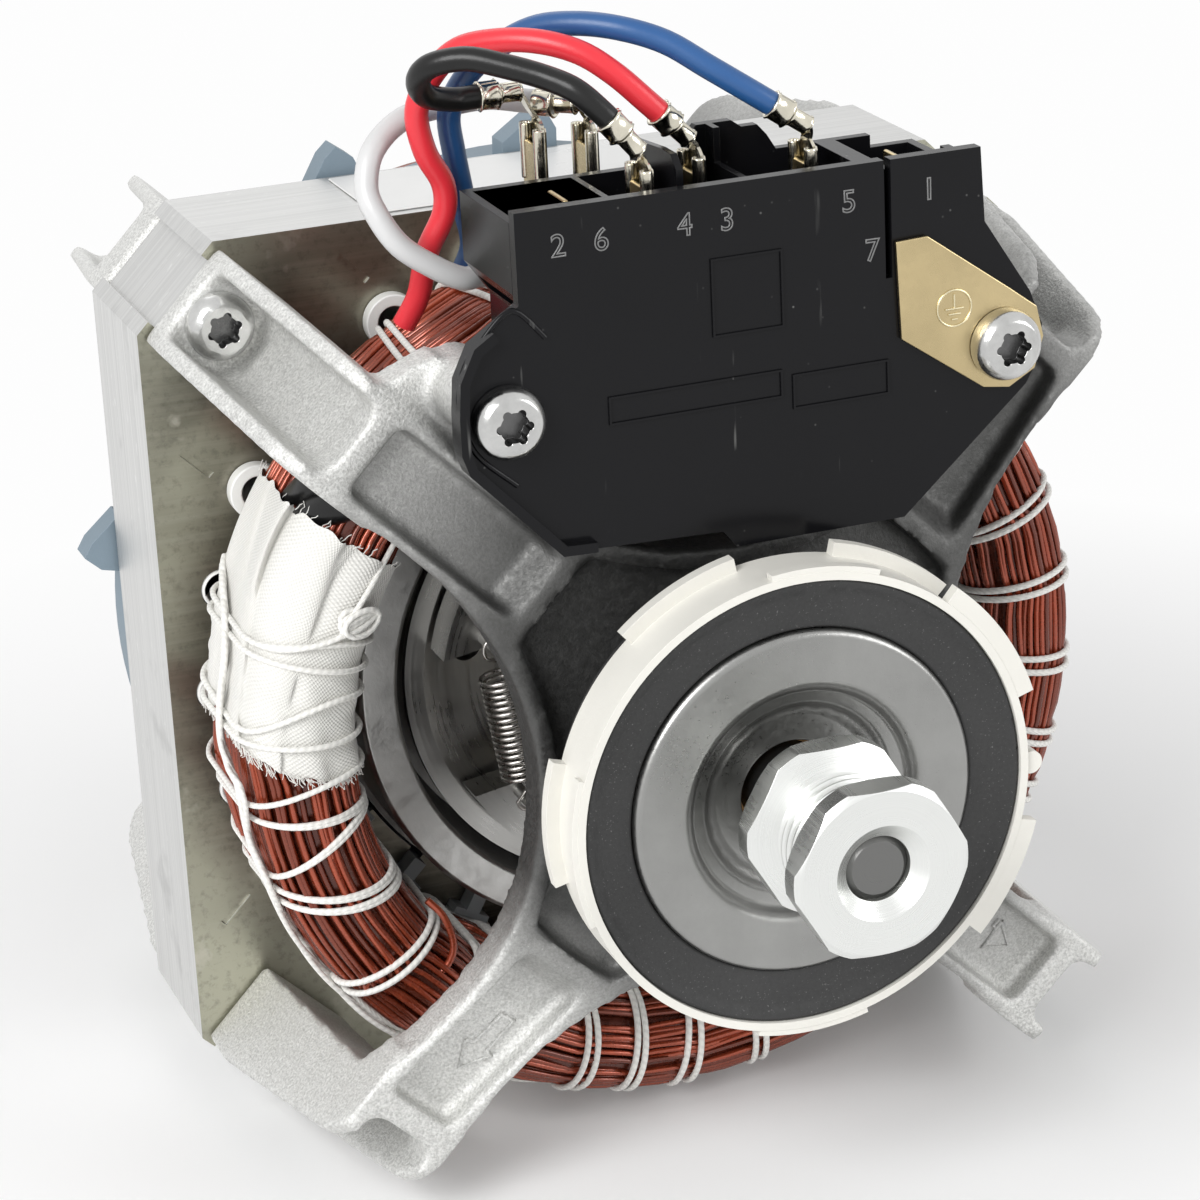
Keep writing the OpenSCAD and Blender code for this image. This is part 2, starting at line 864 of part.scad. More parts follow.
module switch_housing() {
    top = cover_top_z - 1.8;
    color("gray")
    difference() {
        union() {
            plate(housing_y0, housing_y1)
            polygon([
                [-w_half, top], [-w_half, ear_z + 1], [-housing_half_w, ear_z - 4],
                [-housing_half_w, housing_bottom_z], [housing_half_w, housing_bottom_z],
                [housing_half_w, ear_z - 4], [w_half, ear_z + 1], [w_half, top]
            ]);
            // Eared wall between two terminals
            translate([-9.2, 0, 0])
            rotate([90, 0, 90])
            linear_extrude(1.7)
            polygon([
                [housing_y0 + 2, top - 2], [housing_y0 + 2, top + 3.4], [housing_y0 + 4, top + 5.2],
                [housing_y0 + 8, top + 5.2], [housing_y1 - 2.4, top + 4.4], [housing_y1 - 0.6, top + 2.6],
                [housing_y1 - 0.6, top - 2]
            ]);
            // Stepped rear wall
            plate(housing_y1 - 4.4, housing_y1)
            polygon([
                [-1, top - 2], [-1, top + 3.4], [0.4, top + 4.9], [5.7, top + 4.9], [7.2, top + 3.8],
                [9.6, top + 3.8], [11, top + 2.2], [12.7, top - 0.6], [12.7, top - 2]
            ]);
            // Ears of the lever's pivot
            for (side = [-1, 1]) {
                translate([side * 7.7 - 1.2, housing_y1 - 5, pivot_z - 2.4])
                cube([2.4, pivot_y - housing_y1 + 7.6, housing_bottom_z - pivot_z + 6]);
            }
        }
        for (c = cell_edges) {
            translate([c[0], cell_y0, cell_floor_z])
            cube([c[1] - c[0], cell_y1 - cell_y0, 40]);
        }
        translate([split_x, housing_y0 - 1, split_z])
        cube([split_w, 6, 40]);
        // Lower rear corner behind the last cell
        translate([26.8, cell_y0 + 6, top - 1.8])
        cube([20, 40, 20]);
        translate([-20, pivot_y, pivot_z])
        rotate([0, 90, 0])
        cylinder(h = 40, r = pivot_r + run_gap, $fn = 24);
    }
}

// Brass strap under the right-hand screw
strap_t = 0.8;

module ground_strap() {
    color("gold")
    plate(cover_front_y - seat - strap_t, cover_front_y - seat)
    difference() {
        polygon([
            [20.6, 75.2], [25.4, 75.4], [37.6, 66.4], [42, 63], [43, 58.5], [41.6, 54],
            [37.6, 51.8], [33.6, 52.4], [21.2, 61.2]
        ]);
        translate([post_x, post_z])
        circle(2.3, $fn = 24);
    }
}

module switch_screws() {
    color("lightgray")
    for (side = [-1, 1]) {
        seat_y = cover_front_y - seat - (side > 0 ? strap_t + seat : 0);
        translate([side * post_x, 0, post_z]) {
            torx_head(seat_y);
            plate(seat_y - 0.5, post_y + 12)
            circle(1.9, $fn = 24);
        }
    }
}

// Spade terminals, all edge-on to the front: middle x, middle y, top z
tab_w = 6.3;
tab_t = 0.8;
terminals = [
    [-29, 24, 84], [-23.5, 24, 85], [-13.2, 20.5, 86], [-3, 27, 85], [11.5, 22, 85.5], [26.5, 24, 84]
];
rear_terminals = [[-20.5, 42, 88], [-12.3, 43.5, 86.5]];

module spade(t, z0) {
    translate([t[0] - tab_t / 2, t[1] - tab_w / 2, z0])
    cube([tab_t, tab_w, t[2] - z0]);
}

module switch_tabs() {
    color("goldenrod")
    for (t = terminals) {
        spade(t, cell_floor_z + 0.05);
    }
}

// Overload protector behind the housing, with two terminals of its own
protector_z0 = 71.5;
protector_z1 = 80;
protector_y0 = housing_y1 + seat;
protector_y1 = 47.4;

module motor_protector() {
    color("black")
    translate([-25, protector_y0, protector_z0])
    cube([18, protector_y1 - protector_y0, protector_z1 - protector_z0]);
}

module protector_tabs() {
    color("goldenrod")
    for (t = rear_terminals) {
        spade(t, protector_z1 + 0.05);
    }
}

// Insulated leads: smooth tubes through a few points of their real routes
lead_r = 1.7;
lead_steps = 2;
black_route = [
    [-15.5, 20, 93.5], [-18, 20.5, 96.5], [-21, 22, 99.5], [-24, 25, 101], [-28.5, 28, 102.5],
    [-33, 31, 103.5], [-37, 34, 102.5], [-38, 37, 100], [-36, 40, 97], [-31.5, 42, 95.5],
    [-28, 42, 95.5], [-25.5, 42, 95.5]
];
red_route = [
    [-5.5, 27, 92], [-9, 27, 95.5], [-13, 28, 99.5], [-17, 30, 102.5], [-21.5, 33, 104],
    [-26, 37, 104], [-30.5, 41.5, 102.5], [-33.5, 45, 98.5], [-35.5, 46.5, 93.5],
    [-34.5, 47, 87.5], [-32, 47.5, 82.5], [-32, 48, 78], [-34.5, 49, 72.5], [-35.5, 51, 66],
    [-37.5, 52.5, 61.5]
];
blue_route = [
    [9.5, 22, 92.5], [4.5, 23, 96], [-0.5, 25, 99.5], [-5.5, 28, 103], [-11, 31, 105],
    [-16, 35, 105.5], [-20.5, 39.5, 104.5], [-25, 44, 101], [-28, 48, 96.5], [-29.5, 50.5, 91.5],
    [-29, 51, 86], [-28, 51.5, 80], [-27.5, 52, 77], [-26.5, 53, 71.5], [-28, 54.5, 66.5]
];
white_route = [
    [-16, 45, 92.5], [-19, 48, 92.5], [-23, 52.5, 92.5], [-28, 55.5, 91.5], [-35.5, 53, 91],
    [-41, 50, 88], [-43, 48, 83.5], [-42.5, 46, 80], [-40, 44, 75.5], [-35.5, 43, 72],
    [-31.5, 43, 69.8], [-28.5, 44.5, 69.4], [-24, 46.5, 68.4]
];

// Push-on receptacles: terminal, bottom z of the box, start of the lead
box_w = 7.4;
box_t = 2.8;
box_h = 8;
box_wall = 0.6;
barrel_r = 2.35;
barrel_bore = 1.95;
barrel_len = 6;
wired = [
    [terminals[2], 80.5, black_route[0], black_route[1]],
    [terminals[3], 79.5, red_route[0], red_route[1]],
    [terminals[4], 80, blue_route[0], blue_route[1]],
    [rear_terminals[0], 82.5, black_route[11], black_route[10]],
    [rear_terminals[1], 81, white_route[0], white_route[1]]
];

// Carries a shape drawn along +Z to a point, facing along a direction
module aim(p, d) {
    translate(p)
    rotate([0, acos(d[2] / norm(d)), atan2(d[1], d[0])])
    children();
}

module wire_receptacles() {
    color("lightgray")
    for (r = wired) {
        t = r[0];
        d = unit(r[3] - r[2]);
        start = r[2] - 2.5 * d;
        foot = [t[0], t[1], r[1] + box_h];
        difference() {
            translate([t[0] - box_t / 2, t[1] - box_w / 2, r[1]])
            cube([box_t, box_w, box_h]);
            translate([t[0] - tab_t / 2 - seat, t[1] - tab_w / 2 - seat, r[1] - 1])
            cube([tab_t + 2 * seat, tab_w + 2 * seat, box_h - 1]);
        }
        // Neck between the box and the crimp
        aim(foot - [0, 0, 1], start - foot + [0, 0, 1])
        cylinder(h = norm(start - foot + [0, 0, 1]), r = 1.1, $fn = 16);
        difference() {
            aim(start - 1.4 * d, d)
            cylinder(h = barrel_len, r = barrel_r, $fn = 24);
            aim(start + 0.9 * d, d)
            cylinder(h = barrel_len, r = barrel_bore, $fn = 24);
        }
    }
}

function spot(p, i) = i < 0 ? 2 * p[0] - p[1] : i > len(p) - 1 ? 2 * p[len(p) - 1] - p[len(p) - 2] : p[i];
function on_curve(p, u) =
    let (
        i = min(floor(u), len(p) - 2),
        t = u - i,
        a = spot(p, i - 1),
        b = spot(p, i),
        c = spot(p, i + 1),
        e = spot(p, i + 2)
    )
    0.5 * (2 * b + (c - a) * t + (2 * a - 5 * b + 4 * c - e) * t * t + (3 * b - a - 3 * c + e) * t * t * t);
function lead_rings(p, steps) = [
    for (i = [0 : steps * (len(p) - 1)])
        let (
            u = i / steps,
            t = unit(on_curve(p, min(u + 0.05, len(p) - 1)) - on_curve(p, max(u - 0.05, 0))),
            b = unit(cross(t, [0.25, 0.95, 0.2]))
        )
        [on_curve(p, u), b, cross(t, b)]
];

module lead(route) {
    tube(lead_rings(route, lead_steps), lead_r, 8);
}

module black_lead() {
    color("black")
    lead(black_route);
}

module red_lead() {
    color("red")
    lead(red_route);
}

module blue_lead() {
    color("royalblue")
    lead(blue_route);
}

module white_lead() {
    color("whitesmoke")
    lead(white_route);
}

// Lever that the governor spool lets swing
pivot_y = housing_y1 + 4;
pivot_z = 47.6;
pivot_r = 1.5;
lever_t = 2.4;
spool_front_y = 42.5;
fork_in = 9.8;
fork_out = 13.2;

module switch_lever() {
    y0 = pivot_y - lever_t / 2;
    color("darkslategray") {
        translate([-8.6, pivot_y, pivot_z])
        rotate([0, 90, 0])
        cylinder(h = 17.2, r = pivot_r, $fn = 24);
        translate([-6.1, pivot_y, pivot_z])
        rotate([0, 90, 0])
        cylinder(h = 12.2, r = 2.4, $fn = 24);
        translate([-5, y0, 17])
        cube([10, lever_t, pivot_z - 17]);
        translate([-fork_out, y0, 12])
        cube([2 * fork_out, lever_t, 6]);
        for (side = [-1, 1]) {
            translate([side > 0 ? fork_in : -fork_out, y0, -3])
            cube([fork_out - fork_in, lever_t, 16]);
            translate([side > 0 ? fork_in : -fork_out, y0, -2.4])
            cube([fork_out - fork_in, spool_front_y - clear - y0, 4.8]);
        }
    }
}

// Rotor
rotor_front = stack_front - 1;
rotor_back = stack_back + 1;
cage_front = 63.5;
cage_out_r = 45.1;
cage_in_r = 38.9;
cage_rear_len = 10.5;
bar_count = 30;
rotor_bar_r = 2;
rotor_bar_at = 42.2;
nose_r = 4.7;
nose_y = -23.4;
shoulder_y = -3.5;
thread_r = 5.9;
thread_len = 16;
fit_gap = 0.02;
tail_y = rear_ring_y + shaft_tail;
// Groove for a retaining ring
clip_y = rear_ring_y + 7.7;
clip_w = 1.3;
clip_r = shaft_r - 0.6;

// Turns what belongs to the rotor to its place at rest
module at_rest() {
    rotate([0, rest_turn, 0])
    children();
}

module motor_shaft() {
    color("slategray")
    turned()
    polygon([
        [0, nose_y], [nose_r - 0.9, nose_y], [nose_r, nose_y + 0.9], [nose_r, shoulder_y],
        [shaft_r, shoulder_y + 0.6], [shaft_r, clip_y], [clip_r, clip_y], [clip_r, clip_y + clip_w],
        [shaft_r, clip_y + clip_w], [shaft_r, tail_y - thread_len], [thread_r, tail_y - thread_len + 0.6],
        [thread_r, tail_y - 1], [thread_r - 1, tail_y], [0, tail_y]
    ]);
}

module rotor_core() {
    color("gray")
    at_rest()
    difference() {
        tube_ring(rotor_front, rotor_back, rotor_r, shaft_r + fit_gap, 96);
        for (i = [0 : bar_count - 1]) {
            rotate([0, i * 360 / bar_count, 0])
            translate([rotor_bar_at, 0, 0])
            plate(rotor_front - 1, rotor_back + 1)
            circle(rotor_bar_r + 0.1, $fn = 16);
        }
    }
}

module rotor_cage() {
    color("lightgray")
    at_rest() {
        turned(96)
        polygon([
            [cage_in_r + 0.6, cage_front], [cage_out_r - 0.6, cage_front], [cage_out_r, cage_front + 0.8],
            [cage_out_r, rotor_front - 0.1], [cage_in_r - 1.4, rotor_front - 0.1], [cage_in_r, cage_front + 5],
            [cage_in_r, cage_front + 0.6]
        ]);
        turned(96)
        polygon([
            [cage_in_r - 1.4, rotor_back + 0.1], [cage_out_r, rotor_back + 0.1],
            [cage_out_r, rotor_back + cage_rear_len], [cage_in_r + 0.6, rotor_back + cage_rear_len]
        ]);
        for (i = [0 : bar_count - 1]) {
            rotate([0, i * 360 / bar_count, 0])
            translate([rotor_bar_at, 0, 0])
            plate(rotor_front - 1, rotor_back + 1)
            circle(rotor_bar_r, $fn = 16);
        }
    }
}

module thrust_washers() {
    color("lightsteelblue") {
        tube_ring(30.5 + clear, 32.8, 11, shaft_r + fit_gap);
        at_rear()
        tube_ring(30.5 + clear, 32.8, 11, shaft_r + fit_gap);
    }
}

// Pulley turned from hexagon bar, with a ribbed groove between two flanges
pulley_front = -25.4;
pulley_back = -3.9;
flange_r = 12.8;
groove_y0 = -17.4;
rib_pitch = 1.6;
rib_h = 0.9;
pulley_turn = 9;

module pulley_profile() {
    ribs = [
        for (k = [0 : 3])
            for (e = [[0, rib_h], [0.4, rib_h], [0.9, 0], [1.2, 0]])
                [groove_r + e[1], groove_y0 + k * rib_pitch + e[0]]
    ];
    polygon(concat(
        [
            [6.9, pulley_front], [flange_r - 1, pulley_front], [flange_r, pulley_front + 0.8],
            [flange_r, pulley_front + 3.8], [groove_r + 0.5, groove_y0 - 0.5]
        ],
        ribs,
        [
            [groove_r + 0.5, groove_y0 + 6.9], [flange_r, groove_y0 + 8.6], [flange_r, pulley_back - 1.8],
            [flange_r - 0.8, pulley_back - 1.1], [8, pulley_back - 1.1], [8, pulley_back],
            [nose_r + fit_gap, pulley_back], [nose_r + fit_gap, pulley_front + 1.9]
        ]
    ));
}

module pulley() {
    color("lightblue")
    at_rest()
    intersection() {
        turned(64)
        pulley_profile();
        rotate([0, pulley_turn, 0])
        plate(pulley_front - 1, pulley_back + 1)
        circle(pulley_hex / sqrt(3), $fn = 6);
    }
}

// Governor on the front of the rotor
plate_hub_y = 61.6;
plate_y = 66.2;
weight_y0 = 59.2;
weight_y1 = 65.4;
weight_out_r = 33.4;
weight_in_r = 13;
weight_low_z = 11.5;
spring_x = 24.4;
spring_y = 55;
hook_z = 13;
spring_r = 3.15;
spring_wire = 0.7;
spring_curls = 12;
curl_rings = 8;
spring_half = 8.6;
spool_r = 9;
spool_flange_r = 14.4;

module governor_plate() {
    color("dimgray")
    at_rest()
    difference() {
        turned()
        polygon([
            [shaft_r + fit_gap, plate_hub_y], [10, plate_hub_y], [10, plate_y + 2], [22, plate_y + 2],
            [34, plate_y], [37, plate_y], [37, plate_y + 1.4], [34.3, plate_y + 1.4],
            [22, plate_y + 3.6], [10, plate_y + 4.4], [10, rotor_front - 2], [shaft_r + fit_gap, rotor_front - 2]
        ]);
        for (a = [20 : 60 : 320]) {
            rotate([0, a, 0])
            translate([27, 0, 0])
            plate(plate_y - 2, plate_y + 6)
            circle(2.5, $fn = 24);
        }
    }
}

module governor_spool() {
    color("ivory")
    turned()
    polygon([
        [shaft_r + 0.06, spool_front_y], [spool_flange_r, spool_front_y],
        [spool_flange_r, spool_front_y + 2], [spool_r, spool_front_y + 2.4],
        [spool_r, spool_front_y + 10], [12, spool_front_y + 10.4],
        [12, spool_front_y + 12.4], [shaft_r + 0.06, spool_front_y + 12.4]
    ]);
}

module weight(sign) {
    color("darkgray")
    at_rest()
    difference() {
        union() {
            plate(weight_y0, weight_y1)
            intersection() {
                difference() {
                    circle(weight_out_r, $fn = fine);
                    circle(weight_in_r, $fn = 48);
                }
                translate([-40, sign > 0 ? weight_low_z : -weight_low_z - 40])
                square([80, 40]);
            }
            // Posts that the springs hook on
            for (side = [-1, 1]) {
                translate([side * spring_x, 0, sign * hook_z])
                plate(spring_y - 1.6, weight_y0 + 1)
                circle(1, $fn = 20);
            }
        }
        translate([0, 0, sign * 22])
        plate(weight_y0 - 1, weight_y1 + 1)
        circle(3, $fn = 32);
    }
}

module governor_weight_upper() {
    weight(1);
}

module governor_weight_lower() {
    weight(-1);
}

// Close-wound extension spring along Z with an open hook at each end
hook_rings = 9;
function curl(i) =
    let (a = 360 * i / curl_rings)
    [
        spring_r * cos(a),
        spring_r * sin(a),
        -spring_half + 2 * spring_half * i / (spring_curls * curl_rings)
    ];
hook_r = 1.75;
function hook(i, sign) =
    let (a = 270 * i / hook_rings)
    [
        sign * (i == 0 ? 2.2 : hook_r * cos(a) * 0.98),
        0,
        sign * (hook_z - hook_r * 0.2 + hook_r * sin(a))
    ];
function spring_path() = concat(
    [for (i = [0 : hook_rings - 1]) hook(hook_rings - 1 - i, -1)],
    [for (i = [0 : spring_curls * curl_rings]) curl(i)],
    [for (i = [0 : hook_rings - 1]) hook(i, 1)]
);
function spring_rings() =
    let (p = spring_path(), n = len(spring_path()))
    [
        for (i = [0 : n - 1])
            let (
                t = unit(p[min(i + 1, n - 1)] - p[max(i - 1, 0)]),
                in_hook = i < hook_rings || i > n - 1 - hook_rings,
                b = unit(cross(in_hook ? [0, 1, 0] : [0, 0, 1], t))
            )
            [p[i], b, cross(t, b)]
    ];

module governor_spring(side) {
    color("silver")
    at_rest()
    translate([side * spring_x, spring_y, 0])
    tube(spring_rings(), spring_wire / 2, 6);
}

module governor_spring_left() {
    governor_spring(-1);
}

module governor_spring_right() {
    governor_spring(1);
}

// Least gaps of each wound form to itself
turn_gap = 2 * turn_lay_r * sin(90 / front_turn_count) - turn_d;
rear_turn_gap = 2 * turn_lay_r * sin(90 / rear_turn_count) - turn_d;
curl_gap = 2 * spring_half / spring_curls - spring_wire;
lace_gap = (bundle_r - lace_half_w) * lace_step * PI / 180 - lace_d;
echo(turn_gap = turn_gap, rear_turn_gap = rear_turn_gap, curl_gap = curl_gap, lace_gap = lace_gap);

stator_core();
slot_liners();
slot_wedges();
winding_core();
front_turns();
rear_turns();
winding_lacing();
winding_sleeve();
front_shield();
rear_shield();
through_bolts();
front_bearing();
rear_bearing();
front_mount_dish();
front_mount_rubber();
front_mount_ring();
rear_mount_dish();
rear_mount_rubber();
rear_mount_ring();
rear_guard();
label_plate();
switch_housing();
switch_cover();
ground_strap();
switch_screws();
switch_tabs();
motor_protector();
protector_tabs();
wire_receptacles();
black_lead();
red_lead();
blue_lead();
white_lead();
switch_lever();
motor_shaft();
rotor_core();
rotor_cage();
thrust_washers();
pulley();
governor_plate();
governor_spool();
governor_weight_upper();
governor_weight_lower();
governor_spring_left();
governor_spring_right();
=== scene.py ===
"""Looks of a laundry drive motor, laid out as an add-on and run as a script."""

import functools
import math
import random

import bmesh
import bpy
from bpy.props import FloatProperty, FloatVectorProperty, IntProperty, PointerProperty
from mathutils import Matrix, Vector


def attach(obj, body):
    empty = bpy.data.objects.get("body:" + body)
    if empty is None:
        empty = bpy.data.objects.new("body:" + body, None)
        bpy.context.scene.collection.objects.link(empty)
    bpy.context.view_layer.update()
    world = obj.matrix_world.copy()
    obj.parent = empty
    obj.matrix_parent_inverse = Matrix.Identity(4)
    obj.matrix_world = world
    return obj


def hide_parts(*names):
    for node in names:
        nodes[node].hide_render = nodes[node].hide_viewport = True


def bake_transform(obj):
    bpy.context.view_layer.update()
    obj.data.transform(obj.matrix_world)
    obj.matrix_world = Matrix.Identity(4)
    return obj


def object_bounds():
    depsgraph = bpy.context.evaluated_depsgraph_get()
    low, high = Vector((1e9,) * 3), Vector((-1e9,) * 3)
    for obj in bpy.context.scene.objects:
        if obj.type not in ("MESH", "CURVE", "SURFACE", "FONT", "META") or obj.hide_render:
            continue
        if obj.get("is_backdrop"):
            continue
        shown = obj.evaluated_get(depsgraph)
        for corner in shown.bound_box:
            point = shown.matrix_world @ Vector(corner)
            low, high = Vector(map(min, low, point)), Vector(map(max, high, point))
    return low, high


bl_info = {
    "name": "Laundry drive motor",
    "version": (1, 0, 0),
    "blender": (4, 5, 0),
    "location": "View3D > Sidebar > Motor",
    "description": "Dresses the packed frame of a laundry drive motor",
    "category": "Object",
}

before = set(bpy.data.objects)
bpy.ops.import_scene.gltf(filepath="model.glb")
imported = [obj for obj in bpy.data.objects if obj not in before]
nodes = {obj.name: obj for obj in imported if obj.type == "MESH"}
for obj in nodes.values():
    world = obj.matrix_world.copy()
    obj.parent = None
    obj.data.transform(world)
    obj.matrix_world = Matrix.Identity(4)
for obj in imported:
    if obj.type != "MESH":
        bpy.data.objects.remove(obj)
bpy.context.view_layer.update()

MM = 0.001
TURN = 2 * math.pi

# Places in millimetres, as in the frame
STACK_FRONT = 79.6
STACK_BACK = 106.6
# Bundles by their way from the shaft's end to the stack (1 front, -1 rear): middle radius, depth of the near side
BUNDLES = {1: (58.4, 52.4), -1: (55.4, 133.8)}
BUNDLE_SIDE = 14.7
SLOTS = 24
# How deep in the stack the modelled wires start
SLOT_START = 6
COVER_FRONT = 12.3
# Axes of the screws as (x, z)
BOLT_AXES = [(x, z) for x in (-59.04, 59.04) for z in (-59.04, 59.04)]
SWITCH_SCREW_AXES = [(-36.6, 58.5), (36.6, 58.5)]
EARTH_X, EARTH_Z = 29.2, 64.5
SPRING_X, SPRING_Y = 24.4, 55.0
REST_TURN = math.radians(-9)
# The cloth: angles of its ends, height over the bundle's middle line, first side and width as shares of the girth
CLOTH_ENDS = (146.2, 181.5)
CLOTH_LAY = 9.0
CLOTH_START, CLOTH_SHARE = -0.13, 0.80

# Radii in metres
LEAD_R = 0.0017
TUBE_R = 0.0027
YARN_R = 0.00008
SPRING_WIRE_R = 0.00034
CONDUCTOR_R = 0.00105
INK_R = 0.00016
# Widths of rounded edges in metres
BLUNT = 0.0005
SOFT = 0.0004
CRISP = 0.0003
SHEET = 0.0002
FINE = 0.00012


# ---- Settings that a user would change


def length(name, description, default):
    """A size in metres, given here in millimetres."""
    return FloatProperty(name=name, description=description, default=default * MM, unit="LENGTH", precision=5)


def colour(name, description, default):
    """A finish's own colour."""
    return FloatVectorProperty(name=name, description=description, default=default, subtype="COLOR", min=0, max=1)


class MotorColours(bpy.types.PropertyGroup):
    """Colours of the finishes."""

    steel: colour("Lamination steel", "Colour of the stack", (0.70, 0.70, 0.69))
    cast: colour("Cast alloy", "Colour of the end shields", (0.82, 0.82, 0.80))
    copper: colour("Enamel", "Colour of the enamelled wire", (0.30, 0.052, 0.02))
    cord: colour("Cord", "Colour of the lacing cord and cloth", (0.86, 0.85, 0.81))
    ring: colour("Ring plastic", "Colour of the mounting rings", (0.78, 0.765, 0.71))
    rubber: colour("Rubber", "Colour of the rubber rings", (0.022, 0.022, 0.022))
    zinc: colour("Zinc", "Colour of zinc-plated steel", (0.70, 0.72, 0.73))
    black: colour("Switch plastic", "Colour of the switch", (0.006, 0.006, 0.007))
    brass: colour("Brass", "Colour of the brass strap", (0.62, 0.50, 0.28))
    guard: colour("Guard plastic", "Colour of the rear guard", (0.19, 0.25, 0.30))
    blue: colour("Blue lead", "Colour of the blue lead", (0.022, 0.095, 0.27))
    red: colour("Red lead", "Colour of the red lead", (0.78, 0.035, 0.05))


class MotorWinding(bpy.types.PropertyGroup):
    """Sizes of the windings and their lacing."""

    wire: length("Wire", "Diameter of one enamelled wire", 1.0)
    cord: length("Cord", "Diameter of the lacing cord", 1.02)
    rounds: IntProperty(name="Rounds", description="Wires round the front bundle", default=84)
    wander: length("Wander", "How far a wire strays sideways", 0.34)


class MotorEdges(bpy.types.PropertyGroup):
    """Rounding of moulded, cast and machined edges."""

    cast_cell: length("Casting grain", "Cell size that rounds the castings", 0.78)
    moulded: length("Moulded", "Edge radius of plastic pieces", 0.45)
    machined: length("Machined", "Edge radius of machined pieces", 0.22)


class MotorStage(bpy.types.PropertyGroup):
    """Camera and light."""

    lens: FloatProperty(name="Lens", description="Focal length in mm", default=114.24, unit="CAMERA")
    key: FloatProperty(name="Key lamp", description="Power of the main lamp", default=7.5, unit="POWER")
    fill: FloatProperty(name="Fill lamp", description="Power of the side lamp", default=3.0, unit="POWER")
    sky: FloatProperty(name="Sky", description="Strength of the room's light", default=0.5)


# ---- Shader nodes


class Nodes:
    """Adds nodes to a tree and joins them."""

    def __init__(self, tree, prefix="ShaderNode"):
        self.tree, self.prefix = tree, prefix

    def node(self, kind, inputs=None, **settings):
        made = self.tree.nodes.new(self.prefix + kind)
        for key, value in settings.items():
            setattr(made, key, value)
        self.plug(made, inputs or {})
        return made

    def plug(self, node, inputs):
        for key, value in inputs.items():
            if isinstance(value, bpy.types.NodeSocket):
                self.tree.links.new(value, node.inputs[key])
            else:
                node.inputs[key].default_value = value

    def maths(self, operation, a, b=0.5):
        return self.node("Math", {0: a, 1: b}, operation=operation).outputs[0]

    def seen(self):
        """1 for the rays that show the surroundings: straight, mirrored or through glass."""
        path = self.node("LightPath").outputs
        ray = path["Is Camera Ray"]
        for other in ("Is Glossy Ray", "Is Transmission Ray"):
            ray = self.maths("MAXIMUM", ray, path[other])
        return ray


class Finish(Nodes):
    """One material, built node by node round a Principled shader."""

    def __init__(self, name, **constants):
        self.material = bpy.data.materials.new(name)
        self.material.use_nodes = True
        super().__init__(self.material.node_tree)
        self.tree.nodes.clear()
        self.shader = self.node("BsdfPrincipled")
        self.output = self.node("OutputMaterial", {"Surface": self.shader.outputs["BSDF"]})
        self.point = self.node("TexCoord").outputs["Object"]
        self.plug(self.shader, {k.replace("_", " "): v for k, v in constants.items()})

    def noise(self, scale, detail=3.0, rough=0.55, at=None, distort=0.0):
        """Cloudy noise, scale in features per metre."""
        inputs = {"Scale": scale, "Detail": detail, "Roughness": rough, "Distortion": distort}
        return self.node("TexNoise", {"Vector": at or self.point, **inputs}).outputs[0]

    def cells(self, scale):
        """Distance to the nearest of scattered points."""
        return self.node("TexVoronoi", {"Vector": self.point, "Scale": scale}).outputs["Distance"]

    def mapped(self, scale, turn=(0, 0, 0)):
        """The point, stretched and turned."""
        return self.node("Mapping", {"Vector": self.point, "Scale": scale, "Rotation": turn}).outputs[0]

    def ranged(self, value, low, high, to_low=0.0, to_high=1.0):
        """The value brought from one range to another and held inside it."""
        inputs = {"Value": value, 1: low, 2: high, 3: to_low, 4: to_high}
        return self.node("MapRange", inputs).outputs[0]

    def mixed(self, share, a, b, blend="MIX"):
        a, b = (c if isinstance(c, bpy.types.NodeSocket) else (*c[:3], 1) for c in (a, b))
        return self.node("Mix", {0: share, 6: a, 7: b}, data_type="RGBA", blend_type=blend).outputs[2]

    def radius(self):
        """Distance from the shaft's line."""
        flat = self.node("VectorMath", {0: self.point, 1: (1, 0, 1)}, operation="MULTIPLY")
        return self.node("VectorMath", {0: flat.outputs[0]}, operation="LENGTH").outputs["Value"]

    def part(self, axis, source="Object"):
        """One coordinate of the point, the normal or the UV map."""
        coords = self.point if source == "Object" else self.node("TexCoord").outputs[source]
        return self.node("SeparateXYZ", {0: coords}).outputs[axis]

    def attribute(self, name):
        return self.node("Attribute", attribute_name=name).outputs["Fac"]

    def bumps(self, *layers):
        """Chained bumps, each (height, depth in metres, strength)."""
        before = None
        for height, depth, strength in layers:
            inputs = {"Height": height, "Distance": depth, "Strength": strength}
            if before:
                inputs["Normal"] = before
            before = self.node("Bump", inputs).outputs[0]
        self.plug(self.shader, {"Normal": before})
        return self.material

    def surface(self, colour, rough=None):
        """Links the base colour and, if given, the roughness."""
        self.plug(self.shader, {"Base Color": colour})
        if rough is not None:
            self.plug(self.shader, {"Roughness": rough})


def darker(c, share):
    return tuple(x * share for x in c[:3])


